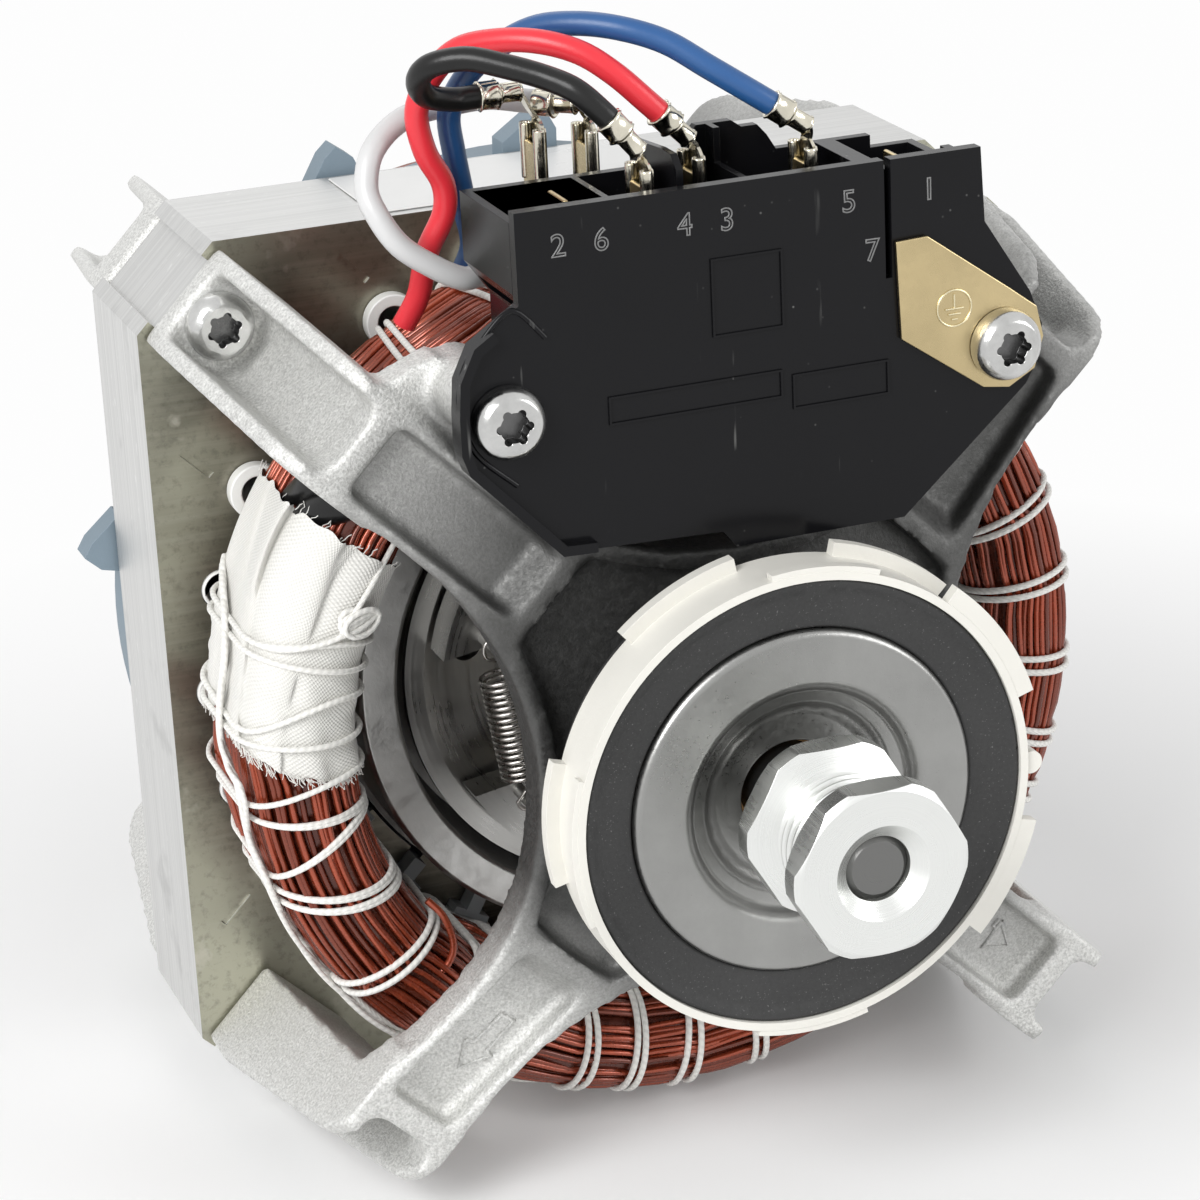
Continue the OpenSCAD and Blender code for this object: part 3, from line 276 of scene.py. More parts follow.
def cast_alloy(name, base):
    """Shot-blasted casting: fine grain with painted glints, smoother round the hub and darker there as painted shade.
    """
    f = Finish(name, Metallic=0.7)
    grain = f.noise(2300, 4, 0.7)
    glints = f.cells(1500)
    across = f.maths("ADD", f.part("X"), f.part("Z"))
    # The painted shade reaches further out on the upper right
    near = f.maths("SUBTRACT", f.radius(), f.maths("MULTIPLY", across, 0.22))
    near = f.maths("ADD", near, f.ranged(f.noise(55, 3), 0, 1, -0.006, 0.006))
    # out is 0 in the painted shade round the hub and 1 away from it
    out = f.ranged(near, 0.045, 0.068)
    # Painted shade: the inner half of the upper left arm's pocket is darker than the others'
    upper = f.ranged(f.maths("SUBTRACT", f.part("Z"), f.part("X")), 0.03, 0.06)
    pocket = f.maths("MULTIPLY", upper, f.ranged(f.radius(), 0.070, 0.074, 0.5, 0))
    out = f.maths("MULTIPLY", out, f.ranged(pocket, 0, 1, 1, 0))
    # The painted shade: the colour falls to 0.13 of the base
    tone = f.mixed(out, darker(base, 0.13), base)
    speck = f.mixed(f.ranged(grain, 0.36, 0.64), (0.25, 0.25, 0.24), (1, 1, 1))
    tone = f.mixed(f.ranged(out, 0, 1, 0.25, 0.5), tone, speck, "MULTIPLY")
    # Painted glints: bright specks put into the colour, fewer in the painted shade
    glint = f.maths("MULTIPLY", f.ranged(glints, 0.05, 0.16, 1.0, 0.0), f.ranged(grain, 0.5, 0.62))
    tone = f.mixed(f.maths("MULTIPLY", glint, out), tone, (0.95, 0.95, 0.93))
    f.surface(tone, f.ranged(f.noise(1200, 2), 0.3, 0.7, 0.34, 0.58))
    depth = f.ranged(out, 0, 1, 0.35, 1.0)
    return f.bumps(
        (f.maths("MULTIPLY", grain, depth), 0.00028, 0.8),
        (f.noise(240, 3), 0.0004, 0.3),
    )


def lamination(name, base):
    """Stacked electrical steel: dark rolled sheet in front, bright ground edges on the sides, and painted shade on
    the faces turned up and down.
    """
    f = Finish(name, Metallic=0.9)
    facing = f.ranged(f.maths("ABSOLUTE", f.part("Y", "Normal")), 0.4, 0.6)
    clouds = f.noise(13, 3, 0.5, distort=0.8)
    rolled = f.noise(1, 4, 0.6, f.mapped((30, 1, 900), (0, 0.25, 0)))
    spots = f.noise(120, 4, 0.6)
    pale = f.ranged(f.radius(), 0.078, 0.095)
    tone = f.maths("ADD", clouds, f.maths("MULTIPLY", pale, 0.13))
    front = f.mixed(f.ranged(tone, 0.40, 0.62), (0.19, 0.185, 0.145), (0.42, 0.415, 0.33))
    heated = f.maths("ADD", f.radius(), f.ranged(f.noise(60, 4, 0.7), 0, 1, -0.007, 0.007))
    front = f.mixed(f.ranged(heated, 0.064, 0.073, 0.45, 0), front, (0.085, 0.055, 0.05))
    front = f.mixed(f.ranged(f.noise(700, 3, 0.7), 0.5, 0.7, 0, 0.3), front, (0.05, 0.048, 0.04))
    front = f.mixed(f.ranged(rolled, 0.45, 0.75, 0, 0.35), front, (0.42, 0.41, 0.34))
    front = f.mixed(f.ranged(spots, 0.66, 0.74, 0, 0.5), front, (0.55, 0.53, 0.46))
    sheet = f.noise(1, 1, 0.5, f.mapped((12, 2000, 12)))
    fleck = f.noise(1, 3, 0.6, f.mapped((300, 700, 300)))
    edge = f.mixed(f.ranged(sheet, 0.3, 0.7), darker(base, 0.86), base)
    edge = f.mixed(f.ranged(fleck, 0.64, 0.76, 0, 0.7), edge, (0.88, 0.88, 0.87))
    edge = f.mixed(f.ranged(f.noise(90, 4), 0.62, 0.75, 0, 0.5), edge, darker(base, 0.6))
    # Painted shade: the faces turned up or down get a darker edge colour
    up = f.ranged(f.maths("ABSOLUTE", f.part("Z", "Normal")), 0.5, 0.9, 0, 0.75)
    edge = f.mixed(up, edge, f.mixed(0.5, darker(base, 0.55), edge))
    f.surface(
        f.mixed(facing, edge, front),
        f.node("Mix", {0: facing, 2: 0.46, 3: f.ranged(clouds, 0.3, 0.7, 0.26, 0.4)}).outputs[0],
    )
    side = f.maths("SUBTRACT", 1.0, facing)
    return f.bumps(
        (f.maths("MULTIPLY", sheet, side), 0.0001, 0.5),
        (f.maths("MULTIPLY", rolled, facing), 0.00004, 0.3),
    )


def satin_metal(name, base, rough=0.3, blotch=70, grain=900, depth=0.00003):
    """Plated or pressed steel with soft blotches and a fine grain."""
    f = Finish(name, Metallic=1.0)
    clouds = f.noise(blotch, 4, 0.6)
    fine = f.noise(grain, 3, 0.6)
    f.surface(
        f.mixed(f.ranged(clouds, 0.35, 0.65), darker(base, 0.84), base),
        f.ranged(f.maths("ADD", clouds, fine), 0.7, 1.3, rough * 0.75, rough * 1.35),
    )
    return f.bumps((fine, depth, 0.5), (f.noise(grain * 3, 2), depth, 0.3))


def turned_metal(name, base, rough=0.22, pitch=0.25, depth=0.00003):
    """Lathe-turned metal with fine rings round the shaft."""
    f = Finish(name, Metallic=1.0)
    out = f.node("CombineXYZ", {0: f.maths("MULTIPLY", f.radius(), 1000 / pitch)}).outputs[0]
    rings = f.noise(1, 2, 0.6, out)
    lines = f.noise(1, 2, 0.6, f.mapped((40, 1600 / pitch, 40)))
    marks = f.maths("ADD", rings, f.maths("MULTIPLY", lines, 0.6))
    clouds = f.noise(90, 3)
    f.surface(
        f.mixed(f.ranged(marks, 0.5, 1.1), darker(base, 0.9), base),
        f.ranged(f.maths("ADD", clouds, rings), 0.7, 1.3, rough * 0.7, rough * 1.5),
    )
    return f.bumps((marks, depth, 0.6), (f.noise(2600, 2), depth * 0.6, 0.2))


def enamel(name, base):
    """Enamelled copper wire, a little different from wire to wire."""
    f = Finish(name, Metallic=0.5, Coat_Weight=0.6, Coat_Roughness=0.06)
    # Shade varies at random from wire to wire; at 0, on the filled body underneath, it is painted shade
    shade = f.attribute("shade")
    f.surface(
        f.mixed(
            f.ranged(f.noise(90, 3), 0.35, 0.7, 0, 0.35),
            f.mixed(shade, darker(base, 0.32), tuple(min(1, x * 1.45) for x in base)),
            darker(base, 0.4),
        ),
        f.ranged(f.noise(700, 2), 0.3, 0.7, 0.2, 0.34),
    )
    return f.bumps((f.noise(500, 2), 0.0001, 0.1))


def twisted_cord(name, base):
    """Lacing cord of twisted yarns."""
    f = Finish(name, Roughness=0.62, Sheen_Weight=0.35, Sheen_Roughness=0.5)
    along = f.maths("MULTIPLY", f.attribute("along"), 5200)
    around = f.maths("MULTIPLY", f.attribute("around"), TURN)
    yarn = f.maths("SINE", f.maths("ADD", along, around), 0)
    fuzz = f.noise(3000, 3)
    f.surface(f.mixed(f.ranged(yarn, -1, 0.4), darker(base, 0.86), base))
    return f.bumps((yarn, 0.00005, 0.5), (fuzz, 0.00008, 0.4))


def woven(name, base):
    """Plain-woven cloth on the piece's own UV map, in metres."""
    f = Finish(name, Roughness=0.7, Sheen_Weight=0.4, Sheen_Roughness=0.4)
    warp, weft = (f.maths("SINE", f.maths("MULTIPLY", f.part(axis, "UV"), 9500), 0) for axis in ("X", "Y"))
    weave = f.maths("MULTIPLY", warp, weft)
    cloud = f.noise(120, 4)
    f.surface(
        f.mixed(
            f.ranged(weave, -0.8, 0.6),
            darker(base, 0.80),
            f.mixed(f.ranged(cloud, 0.3, 0.7), darker(base, 0.9), base),
        )
    )
    return f.bumps((weave, 0.00012, 0.55), (f.noise(500, 3), 0.0002, 0.2))


def moulded(name, base, rough=0.3, texture=0.00003, dust=0.0, **constants):
    """Moulded plastic with a faint skin texture and, if asked, dust and scuffs."""
    f = Finish(name, **constants)
    cloud = f.noise(35, 4, 0.6)
    skin = f.noise(1500, 3, 0.6)
    tone = f.mixed(f.ranged(cloud, 0.3, 0.7), darker(base, 0.9), base)
    gloss = f.ranged(cloud, 0.3, 0.7, rough * 0.82, rough * 1.2)
    if dust:
        specks = f.ranged(f.cells(420), 0.0, 0.09, 1.0, 0.0)
        sparse = f.ranged(f.noise(70, 2), 0.52, 0.66)
        scuff = f.ranged(f.noise(1, 3, 0.7, f.mapped((300, 300, 26), (0.3, 0.5, 0.2))), 0.66, 0.74)
        marks = f.maths("MULTIPLY", f.maths("ADD", specks, scuff), f.maths("MULTIPLY", sparse, dust))
        tone = f.mixed(marks, tone, (0.55, 0.55, 0.53))
        gloss = f.maths("ADD", gloss, f.maths("MULTIPLY", marks, 0.3))
    f.surface(tone, gloss)
    return f.bumps((skin, texture, 0.5), (f.noise(240, 2), texture * 3, 0.15))


def rubber(name, base):
    """Dull moulded rubber with pale dust."""
    f = Finish(name)
    grain = f.noise(1800, 4, 0.7)
    dust = f.ranged(f.noise(3200, 2), 0.66, 0.74)
    bloom = f.ranged(f.noise(40, 4), 0.35, 0.75, 0, 0.35)
    tone = f.mixed(bloom, base, darker(base, 2.2))
    f.surface(
        f.mixed(f.maths("MULTIPLY", dust, 0.35), tone, (0.32, 0.32, 0.31)),
        f.ranged(grain, 0.3, 0.7, 0.5, 0.72),
    )
    return f.bumps((grain, 0.00012, 0.5))


@functools.cache
def finishes():
    """All the materials by name."""
    c = bpy.context.scene.motor_colours
    return {
        "steel": lamination("lamination_steel", c.steel),
        "cast": cast_alloy("cast_alloy", c.cast),
        "copper": enamel("wire_enamel", c.copper),
        "cord": twisted_cord("lacing_cord", c.cord),
        "cloth": woven("sleeve_cloth", c.cord),
        "liner": moulded("liner_film", (0.86, 0.86, 0.84), 0.3),
        "wedge": moulded("wedge_fibre", (0.42, 0.44, 0.45), 0.55, 0.00006),
        "zinc": satin_metal("zinc_plate", darker(c.zinc, 0.95), 0.24),
        "dish": satin_metal("pressed_zinc", (0.36, 0.36, 0.35), 0.32, 55, 1500, 0.00003),
        "screw": satin_metal("screw_zinc", (0.62, 0.62, 0.61), 0.18, 300, 1500),
        # Painted shade for the inside of the screws' star recesses
        "recess": satin_metal("screw_recess", (0.16, 0.16, 0.16), 0.3, 300, 1500),
        "pulley": turned_metal("turned_zinc", (0.86, 0.87, 0.85), 0.28, 0.14, 0.000007),
        "shaft": turned_metal("shaft_steel", (0.20, 0.20, 0.195), 0.34, 0.2),
        "cage": satin_metal("cast_ring", (0.60, 0.595, 0.58), 0.38, 120, 700, 0.00006),
        "rotor": satin_metal("rotor_steel", (0.30, 0.29, 0.28), 0.4),
        "plate": turned_metal("governor_steel", (0.44, 0.435, 0.42), 0.3, 0.9),
        "spring": satin_metal("spring_steel", (0.55, 0.53, 0.50), 0.25, 200),
        "bronze": turned_metal("bearing_bronze", (0.50, 0.30, 0.14), 0.35),
        "brass": satin_metal("strap_brass", c.brass, 0.3, 60, 1200),
        "tin": satin_metal("tinned_brass", (0.72, 0.68, 0.57), 0.17, 240, 1200),
        "ring": moulded("ring_plastic", c.ring, 0.42, 0.00004, 0.12),
        "rubber": rubber("mount_rubber", c.rubber),
        "black": moulded("switch_plastic", c.black, 0.2, 0.00002, 0.35, Specular_IOR_Level=0.19),
        "raised_grey": moulded("worn_plastic", (0.16, 0.16, 0.16), 0.3),
        "guard": moulded("guard_plastic", c.guard, 0.5, 0.00005, 0.2),
        "spool": moulded("spool_plastic", (0.62, 0.58, 0.47), 0.45),
        "label": moulded("label_film", (0.78, 0.78, 0.77), 0.28),
        "black_lead": moulded("black_insulation", (0.010, 0.010, 0.010), 0.3, 0.00005, Specular_IOR_Level=0.32),
        "red_lead": moulded("red_insulation", c.red, 0.3, 0.00005),
        "blue_lead": moulded("blue_insulation", c.blue, 0.32, 0.00005),
        "white_lead": moulded("white_insulation", (0.66, 0.66, 0.66), 0.3, 0.00005),
        "ink": satin_metal("worn_brass", (0.85, 0.76, 0.52), 0.3, 200),
    }


def finish(name):
    return finishes()[name]


# ---- Meshes


def link(obj):
    bpy.context.scene.collection.objects.link(obj)
    return obj


def seat(obj, body, stands_for=()):
    """Puts a finished piece on its body and hides the CAD parts it stands for."""
    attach(obj, body)
    if stands_for:
        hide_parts(*stands_for)
    return obj


def settle(obj):
    """Turns what the modifiers make into the object's own plain mesh."""
    depsgraph = bpy.context.evaluated_depsgraph_get()
    made = bpy.data.meshes.new_from_object(obj.evaluated_get(depsgraph), depsgraph=depsgraph)
    made.name = obj.name
    obj.modifiers.clear()
    obj.data = made
    return obj


def mesh_object(name, verts, faces, material, smooth=True):
    mesh = bpy.data.meshes.new(name)
    mesh.from_pydata([tuple(v) for v in verts], [], faces)
    mesh.materials.append(material)
    mesh.shade_smooth() if smooth else mesh.shade_flat()
    mesh.update()
    return link(bpy.data.objects.new(name, mesh))


def welded_copy(name, source):
    """A CAD node's mesh in a new object, with its doubled points merged."""
    bm = bmesh.new()
    bm.from_mesh(nodes[source].data)
    bmesh.ops.remove_doubles(bm, verts=bm.verts, dist=2e-6)
    mesh = bpy.data.meshes.new(name)
    bm.to_mesh(mesh)
    bm.free()
    mesh.materials.clear()
    return link(bpy.data.objects.new(name, mesh))


def eased(name, source, look, width, segments=2, angle=32, body="frame"):
    """A CAD node with its sharp edges rounded."""
    obj = welded_copy(name, source)
    bm = bmesh.new()
    bm.from_mesh(obj.data)
    bmesh.ops.dissolve_limit(bm, angle_limit=math.radians(0.6), verts=bm.verts, edges=bm.edges)
    bm.to_mesh(obj.data)
    bm.free()
    obj.data.materials.append(finish(look))
    bevel = obj.modifiers.new("round", "BEVEL")
    bevel.width = width
    bevel.segments = segments
    bevel.limit_method = "ANGLE"
    bevel.angle_limit = math.radians(angle)
    bevel.miter_outer = "MITER_ARC"
    obj.data.shade_smooth()
    weigh = obj.modifiers.new("weigh", "WEIGHTED_NORMAL")
    weigh.keep_sharp = False
    return seat(settle(obj), body, [source])


def casting(name, source, cell, keep):
    """A casting: every edge and inner corner rounded by a fine remesh."""
    obj = welded_copy(name, source)
    # Turned so that the arms lie along the grid of the remesh
    turn = Matrix.Rotation(math.radians(45), 4, "Y")
    obj.data.transform(turn)
    remesh = obj.modifiers.new("grain", "REMESH")
    remesh.mode = "VOXEL"
    remesh.voxel_size = cell
    smooth = obj.modifiers.new("soften", "SMOOTH")
    smooth.factor = 0.5
    smooth.iterations = 4
    obj.modifiers.new("thin", "DECIMATE").ratio = keep
    settle(obj)
    obj.data.transform(turn.inverted())
    obj.data.materials.clear()
    obj.data.materials.append(finish("cast"))
    obj.data.shade_smooth()
    return seat(obj, "frame", [source])


def paint_recess_shade(obj, axes):
    """Gives the faces inside the star recesses at some axes (x, z in mm) a dark finish as painted shade."""
    head, reach, rim, deep = 5, 2.72, 0.1 * MM, 4 * MM
    obj.data.materials.append(finish("recess"))
    for x, z in axes:
        near = [(math.hypot(f.center.x / MM - x, f.center.z / MM - z), f) for f in obj.data.polygons]
        near = [(off, f) for off, f in near if off < head]
        top = min(f.center.y for off, f in near)
        for off, f in near:
            if off < reach and top + rim < f.center.y < top + deep:
                f.material_index = len(obj.data.materials) - 1


def dress(look, *names):
    """CAD nodes that keep their own shape get a better finish."""
    for name in names:
        mesh = nodes[name].data
        if not mesh.materials:
            mesh.materials.append(finish(look))
        for i in range(len(mesh.materials)):
            mesh.materials[i] = finish(look)


# ---- Geometry Nodes


class Growth(Nodes):
    """A Geometry Nodes tree with a geometry in and out and named inputs."""

    def __init__(self, name, **inputs):
        super().__init__(bpy.data.node_groups.new(name, "GeometryNodeTree"), "GeometryNode")
        sockets = [("Geometry", "OUTPUT", "Geometry"), ("Geometry", "INPUT", "Geometry")]
        for label, way, kind in sockets + [(label, "INPUT", kind) for label, kind in inputs.items()]:
            self.tree.interface.new_socket(label, in_out=way, socket_type="NodeSocket" + kind)
        self.source = self.tree.nodes.new("NodeGroupInput").outputs

    def made(self, kind, inputs):
        return self.node(kind, inputs).outputs[0]

    def end(self, geometry):
        """Real geometry with its finish."""
        whole = self.made("RealizeInstances", {0: geometry})
        painted = self.made("SetMaterial", {"Geometry": whole, "Material": self.source["Material"]})
        self.tree.links.new(painted, self.tree.nodes.new("NodeGroupOutput").inputs[0])
        return self.tree


@functools.cache
def strand_tree():
    """Round tubes along the edges of a mesh."""
    g = Growth("strand", Radius="Float", Sides="Int", Material="Material")
    curve = g.made("MeshToCurve", {"Mesh": g.source["Geometry"]})
    run = g.node("SplineParameter").outputs
    curve = g.made("StoreNamedAttribute", {"Geometry": curve, "Name": "along", "Value": run["Length"]})
    ring = g.made("CurvePrimitiveCircle", {"Radius": g.source["Radius"], "Resolution": g.source["Sides"]})
    ring = g.made("StoreNamedAttribute", {"Geometry": ring, "Name": "around", "Value": run["Factor"]})
    tube = g.made("CurveToMesh", {"Curve": curve, "Profile Curve": ring, "Fill Caps": True})
    return g.end(g.made("SetShadeSmooth", {"Geometry": tube}))


def strands(name, lines, radius, sides, look, shades=None, closed=False):
    """Tubes along lists of points in millimetres, each with its own shade."""
    verts, edges, shade = [], [], []
    for k, line in enumerate(lines):
        start = len(verts)
        verts += [Vector(p) * MM for p in line]
        edges += [(start + i, start + i + 1) for i in range(len(line) - 1)]
        if closed:
            edges.append((len(verts) - 1, start))
        shade += [shades[k] if shades else 0.5] * len(line)
    mesh = bpy.data.meshes.new(name)
    mesh.from_pydata(verts, edges, [])
    mesh.attributes.new("shade", "FLOAT", "POINT").data.foreach_set("value", shade)
    obj = link(bpy.data.objects.new(name, mesh))
    modifier = obj.modifiers.new("strand", "NODES")
    modifier.node_group = strand_tree()
    values = {"Radius": radius, "Sides": sides, "Material": finish(look)}
    for item in strand_tree().interface.items_tree:
        if item.in_out == "INPUT" and item.name in values:
            modifier[item.identifier] = values[item.name]
    return settle(obj)


def joined(name, *objects):
    """Several objects made one."""
    keep = objects[0]
    bm = bmesh.new()
    slots = []
    for obj in objects:
        part = obj.data.copy()
        places = []
        for material in part.materials:
            if material not in slots:
                slots.append(material)
            places.append(slots.index(material))
        for polygon in part.polygons:
            polygon.material_index = places[polygon.material_index] if places else 0
        bm.from_mesh(part)
    mesh = bpy.data.meshes.new(name)
    bm.to_mesh(mesh)
    bm.free()
    for material in slots:
        mesh.materials.append(material)
    for obj in objects[1:]:
        bpy.data.objects.remove(obj)
    keep.data = mesh
    keep.name = name
    return keep


def grid(rows, cols, flip=False, closed=(False, False)):
    """Quads between the rows of a grid of points, which may be closed along rows and along columns."""
    faces = []
    for i in range(rows if closed[0] else rows - 1):
        for k in range(cols if closed[1] else cols - 1):
            near, far, after = i * cols, (i + 1) % rows * cols, (k + 1) % cols
            face = (near + k, near + after, far + after, far + k)
            faces.append(face[::-1] if flip else face)
    return faces


def smooth_line(points, steps):
    """A smooth line through points, with steps places between each two."""
    p = [Vector(q) for q in points]
    p = [2 * p[0] - p[1], *p, 2 * p[-1] - p[-2]]
    line = []
    for i in range(1, len(p) - 2):
        a, b, c, e = p[i - 1 : i + 3]
        for k in range(steps):
            t = k / steps
            line.append(
                0.5 * (2 * b + (c - a) * t + (2 * a - 5 * b + 4 * c - e) * t * t + (3 * b - a - 3 * c + e) * t**3)
            )
    return [*line, p[-2]]


# ---- Windings


def girth_of(lay):
    """Length of a bundle's outline at some height over its middle line."""
    return 2 * math.pi * lay + 2 * BUNDLE_SIDE


def on_bundle(angle, s, lift, way=1):
    """A point on the rounded outline of a bundle: angle in degrees, s in mm round the outline."""
    middle, near = BUNDLES[way]
    half = math.pi * lift
    s %= girth_of(lift)
    if s < half:
        out, y = -lift * math.cos(s / lift), -lift * math.sin(s / lift)
    elif s < half + BUNDLE_SIDE:
        out, y = lift, s - half
    elif s < 2 * half + BUNDLE_SIDE:
        f = (s - half - BUNDLE_SIDE) / lift
        out, y = lift * math.cos(f), BUNDLE_SIDE + lift * math.sin(f)
    else:
        out, y = -lift, BUNDLE_SIDE - (s - 2 * half - BUNDLE_SIDE)
    a = math.radians(angle)
    out += middle
    return Vector((out * math.cos(a), near + way * y, out * math.sin(a)))


def sleeved(angle):
    """How far the sleeve draws the bundle in: 1 under it, 0 away from it."""
    return 1 / (1 + math.exp(149 - angle)) / (1 + math.exp(angle - 181))


def pinch(angle, laces):
    """How far the cord pulls the wires in at an angle."""
    return sum(math.exp(-((((angle - a + 180) % 360 - 180) / 1.9) ** 2)) for a in laces)


LACES = [217.5 + 10.6 * i for i in range(30)]


def bundle(name, way, rounds, steps, lay, laces, seed):
    """The wires of one bundle, straying over and under each other."""
    rng = random.Random(seed)
    settings = bpy.context.scene.motor_winding
    lines, shades = [], []
    for k in range(rounds):
        group = rng.choice([2, 3, 4])
        phase, phase2 = rng.uniform(0, TURN), rng.uniform(0, TURN)
        tall = rng.uniform(-0.42, 0.2)
        line = []
        for i in range(steps):
            a = 360 * i / steps
            t = math.radians(a)
            stray = settings.wander / MM * (math.sin(group * t + phase) + 0.5 * math.sin(2 * group * t + phase2))
            lift = lay + tall + 0.16 * math.sin((group + 1) * t + phase2) - 0.4 * pinch(a, laces)
            if way > 0:
                lift -= 0.7 * sleeved(a)
            line.append(on_bundle(a, k * girth_of(lay) / rounds + stray, lift, way))
        lines.append(line)
        shades.append(rng.uniform(0.1, 0.9))
    return strands(name, lines, settings.wire / 2, 5, "copper", shades, closed=True)


def bundle_core(name, way, lay):
    """The wires underneath, as one filled body in painted shade: it takes the darkest colour of the wires."""
    steps, ring = 96, 40
    spots = [(360 * i / steps, girth_of(lay) * k / ring) for i in range(steps) for k in range(ring)]
    verts = [on_bundle(a, s, lay, way) * MM for a, s in spots]
    obj = mesh_object(name, verts, grid(steps, ring, way > 0, (True, True)), finish("copper"))
    # Painted shade: shade 0 gives the darkest wire colour
    shade = obj.data.attributes.new("shade", "FLOAT", "POINT")
    shade.data.foreach_set("value", [0.0] * len(verts))
    return obj


def slot_wires(name, way, start, seed):
    """Wires that leave each slot and bend into the bundle on both sides."""
    rng = random.Random(seed)
    lines, shades = [], []
    middle, near = BUNDLES[way]
    bottom, deep, half = 53.5, 9.6, 8
    for slot in range(SLOTS):
        for k in range(2 * half):
            r0 = bottom + deep * (k % half) / (half - 1) + rng.uniform(-0.3, 0.3)
            side = -1 if k < half else 1
            a0 = 360 * slot / SLOTS + side * rng.uniform(0.4, 1.9)
            r1 = middle + rng.uniform(-5.5, 6.6)
            y1 = near + way * BUNDLE_SIDE - way * rng.uniform(-2.5, 6)
            reach = rng.uniform(8, 15) * side
            line = []
            for i in range(9):
                t = i / 8
                ease = t * t * (3 - 2 * t)
                a = math.radians(a0 + reach * t * t)
                r = r0 + (r1 - r0) * ease
                y = start + way * 4 + (y1 - start - way * 4) * math.sin(t * math.pi / 2)
                line.append((r * math.cos(a), y, r * math.sin(a)))
            lines.append(line)
            shades.append(rng.uniform(0.1, 0.9))
    return strands(name, lines, bpy.context.scene.motor_winding.wire / 2, 6, "copper", shades)


def lacing(name, laces, cord, lay, first, last):
    """Loops of double cord, each leaning a little, with a cord along the outside from one angle to another."""
    rng = random.Random(21)
    around = girth_of(lay)
    lines = []
    for a in laces:
        lean, spread = rng.uniform(-3, 3), rng.uniform(0.2, 0.9)
        for twin in (-0.75, 0.75):
            shift, phase = rng.uniform(-0.25, 0.25), rng.uniform(0, TURN)
            line = []
            for i in range(64):
                t = i / 64
                turn = a + twin * (1 + spread * math.sin(TURN * t + twin)) + shift
                turn += lean * math.sin(TURN * t)
                line.append(on_bundle(turn, around * t, lay + 0.08 * math.sin(2 * TURN * t + phase)))
            lines.append(line)
    loops = strands(name, lines, cord / 2, 8, "cord", closed=True)
    runs = []
    for a, b in zip(laces, laces[1:]):
        if b - a <= 14 and first < a < last:
            s, e = (around * 0.33 + rng.uniform(-1.2, 1.2) for _ in range(2))
            line = [(a + (b - a) * i / 8, s + (e - s) * i / 8, 0.2 * math.sin(math.pi * i / 8)) for i in range(9)]
            runs.append([on_bundle(turn, side, lay + up) for turn, side, up in line])
    return joined(name, loops, strands(name + "_runs", runs, cord / 2, 8, "cord"))


def cloth_place(t, w):
    """Angle on the cloth at t along it and w across it: both ends are cut a little askew."""
    first, last = CLOTH_ENDS
    top = 2.4 * max(0, 0.52 - w) / 0.52
    low = min(1.5, max(-5.0, 1.5 - 24 * (w - 0.31)))
    return first + (last - first) * t + (1 - t) * top + t * low


def sleeve(name):
    """The woven cloth round the bundle, folded between its two lobes and drawn in by its ties."""
    rng = random.Random(11)
    across, along = 220, 130
    around = girth_of(CLOTH_LAY)
    girth = around * CLOTH_SHARE
    waves = [
        (rng.randint(3, 11), rng.uniform(-0.6, 0.6), rng.uniform(0, TURN), rng.uniform(0.05, 0.16)) for _ in range(9)
    ]
    verts, uvs = [], []
    for i in range(along + 1):
        t = i / along
        straight = CLOTH_ENDS[0] + (CLOTH_ENDS[1] - CLOTH_ENDS[0]) * t
        tied = min(1, pinch(straight, [sum(tie) / 2 for tie in SLEEVE_TIES]))
        for k in range(across + 1):
            w = k / across
            crease = sum(h * math.sin(n * TURN * w + lean * TURN * t * 2 + p) for n, lean, p, h in waves)
            middle = 0.545 - 0.01 * t + 0.015 * math.sin(7 * t)
            fold = -0.5 * math.exp(-(((w - middle) / 0.02) ** 2)) * (1 - 0.6 * t)
            fold += (0.35 + 0.9 * math.exp(-t / 0.2)) * math.exp(-(((abs(w - middle) - 0.075) / 0.05) ** 2))
            fold -= 0.45 * math.exp(-(((w - 0.36 - 0.07 * t) / 0.014) ** 2)) * (1 - tied)
            fold -= 0.35 * math.exp(-(((w - 0.72 + 0.2 * t) / 0.02) ** 2)) * (1 - tied)
            ragged = 0.35 * math.sin(37 * w) * math.sin(91 * w + 2) if i in (0, along) else 0
            lift = CLOTH_LAY + crease * (1 - 0.6 * tied) + fold * (1 - 0.3 * tied) - 0.25 * tied
            s = around * CLOTH_START + girth * w
            verts.append(on_bundle(cloth_place(t, w) + ragged, s, lift) * MM)
            uvs.append((BUNDLES[1][0] * math.radians(straight) * MM, girth * w * MM))
    obj = mesh_object(name, verts, grid(along + 1, across + 1), finish("cloth"))
    layer = obj.data.uv_layers.new(name="UVMap")
    for loop in obj.data.loops:
        layer.data[loop.index].uv = uvs[loop.vertex_index]
    return obj


# Ties of the sleeve: angle at the inner and at the outer side of the bundle
SLEEVE_TIES = [(160.5, 163.5), (165, 165), (169.5, 175), (176.5, 176.5), (182.4, 185)]
# Loops just below the sleeve, held by the same rope
LOW_TIES = [(189.5, 187.5), (190.5, 196), (204, 198), (206, 200)]
# Both kinds: ties, where on the outline they start to cross over and how far on they have, drop, shifts of the cords
TIES = ((SLEEVE_TIES, 0.11, 0.19, 0, (0,)), (LOW_TIES, 0.03, 0.27, 0.8, (-0.35, 0.4)))
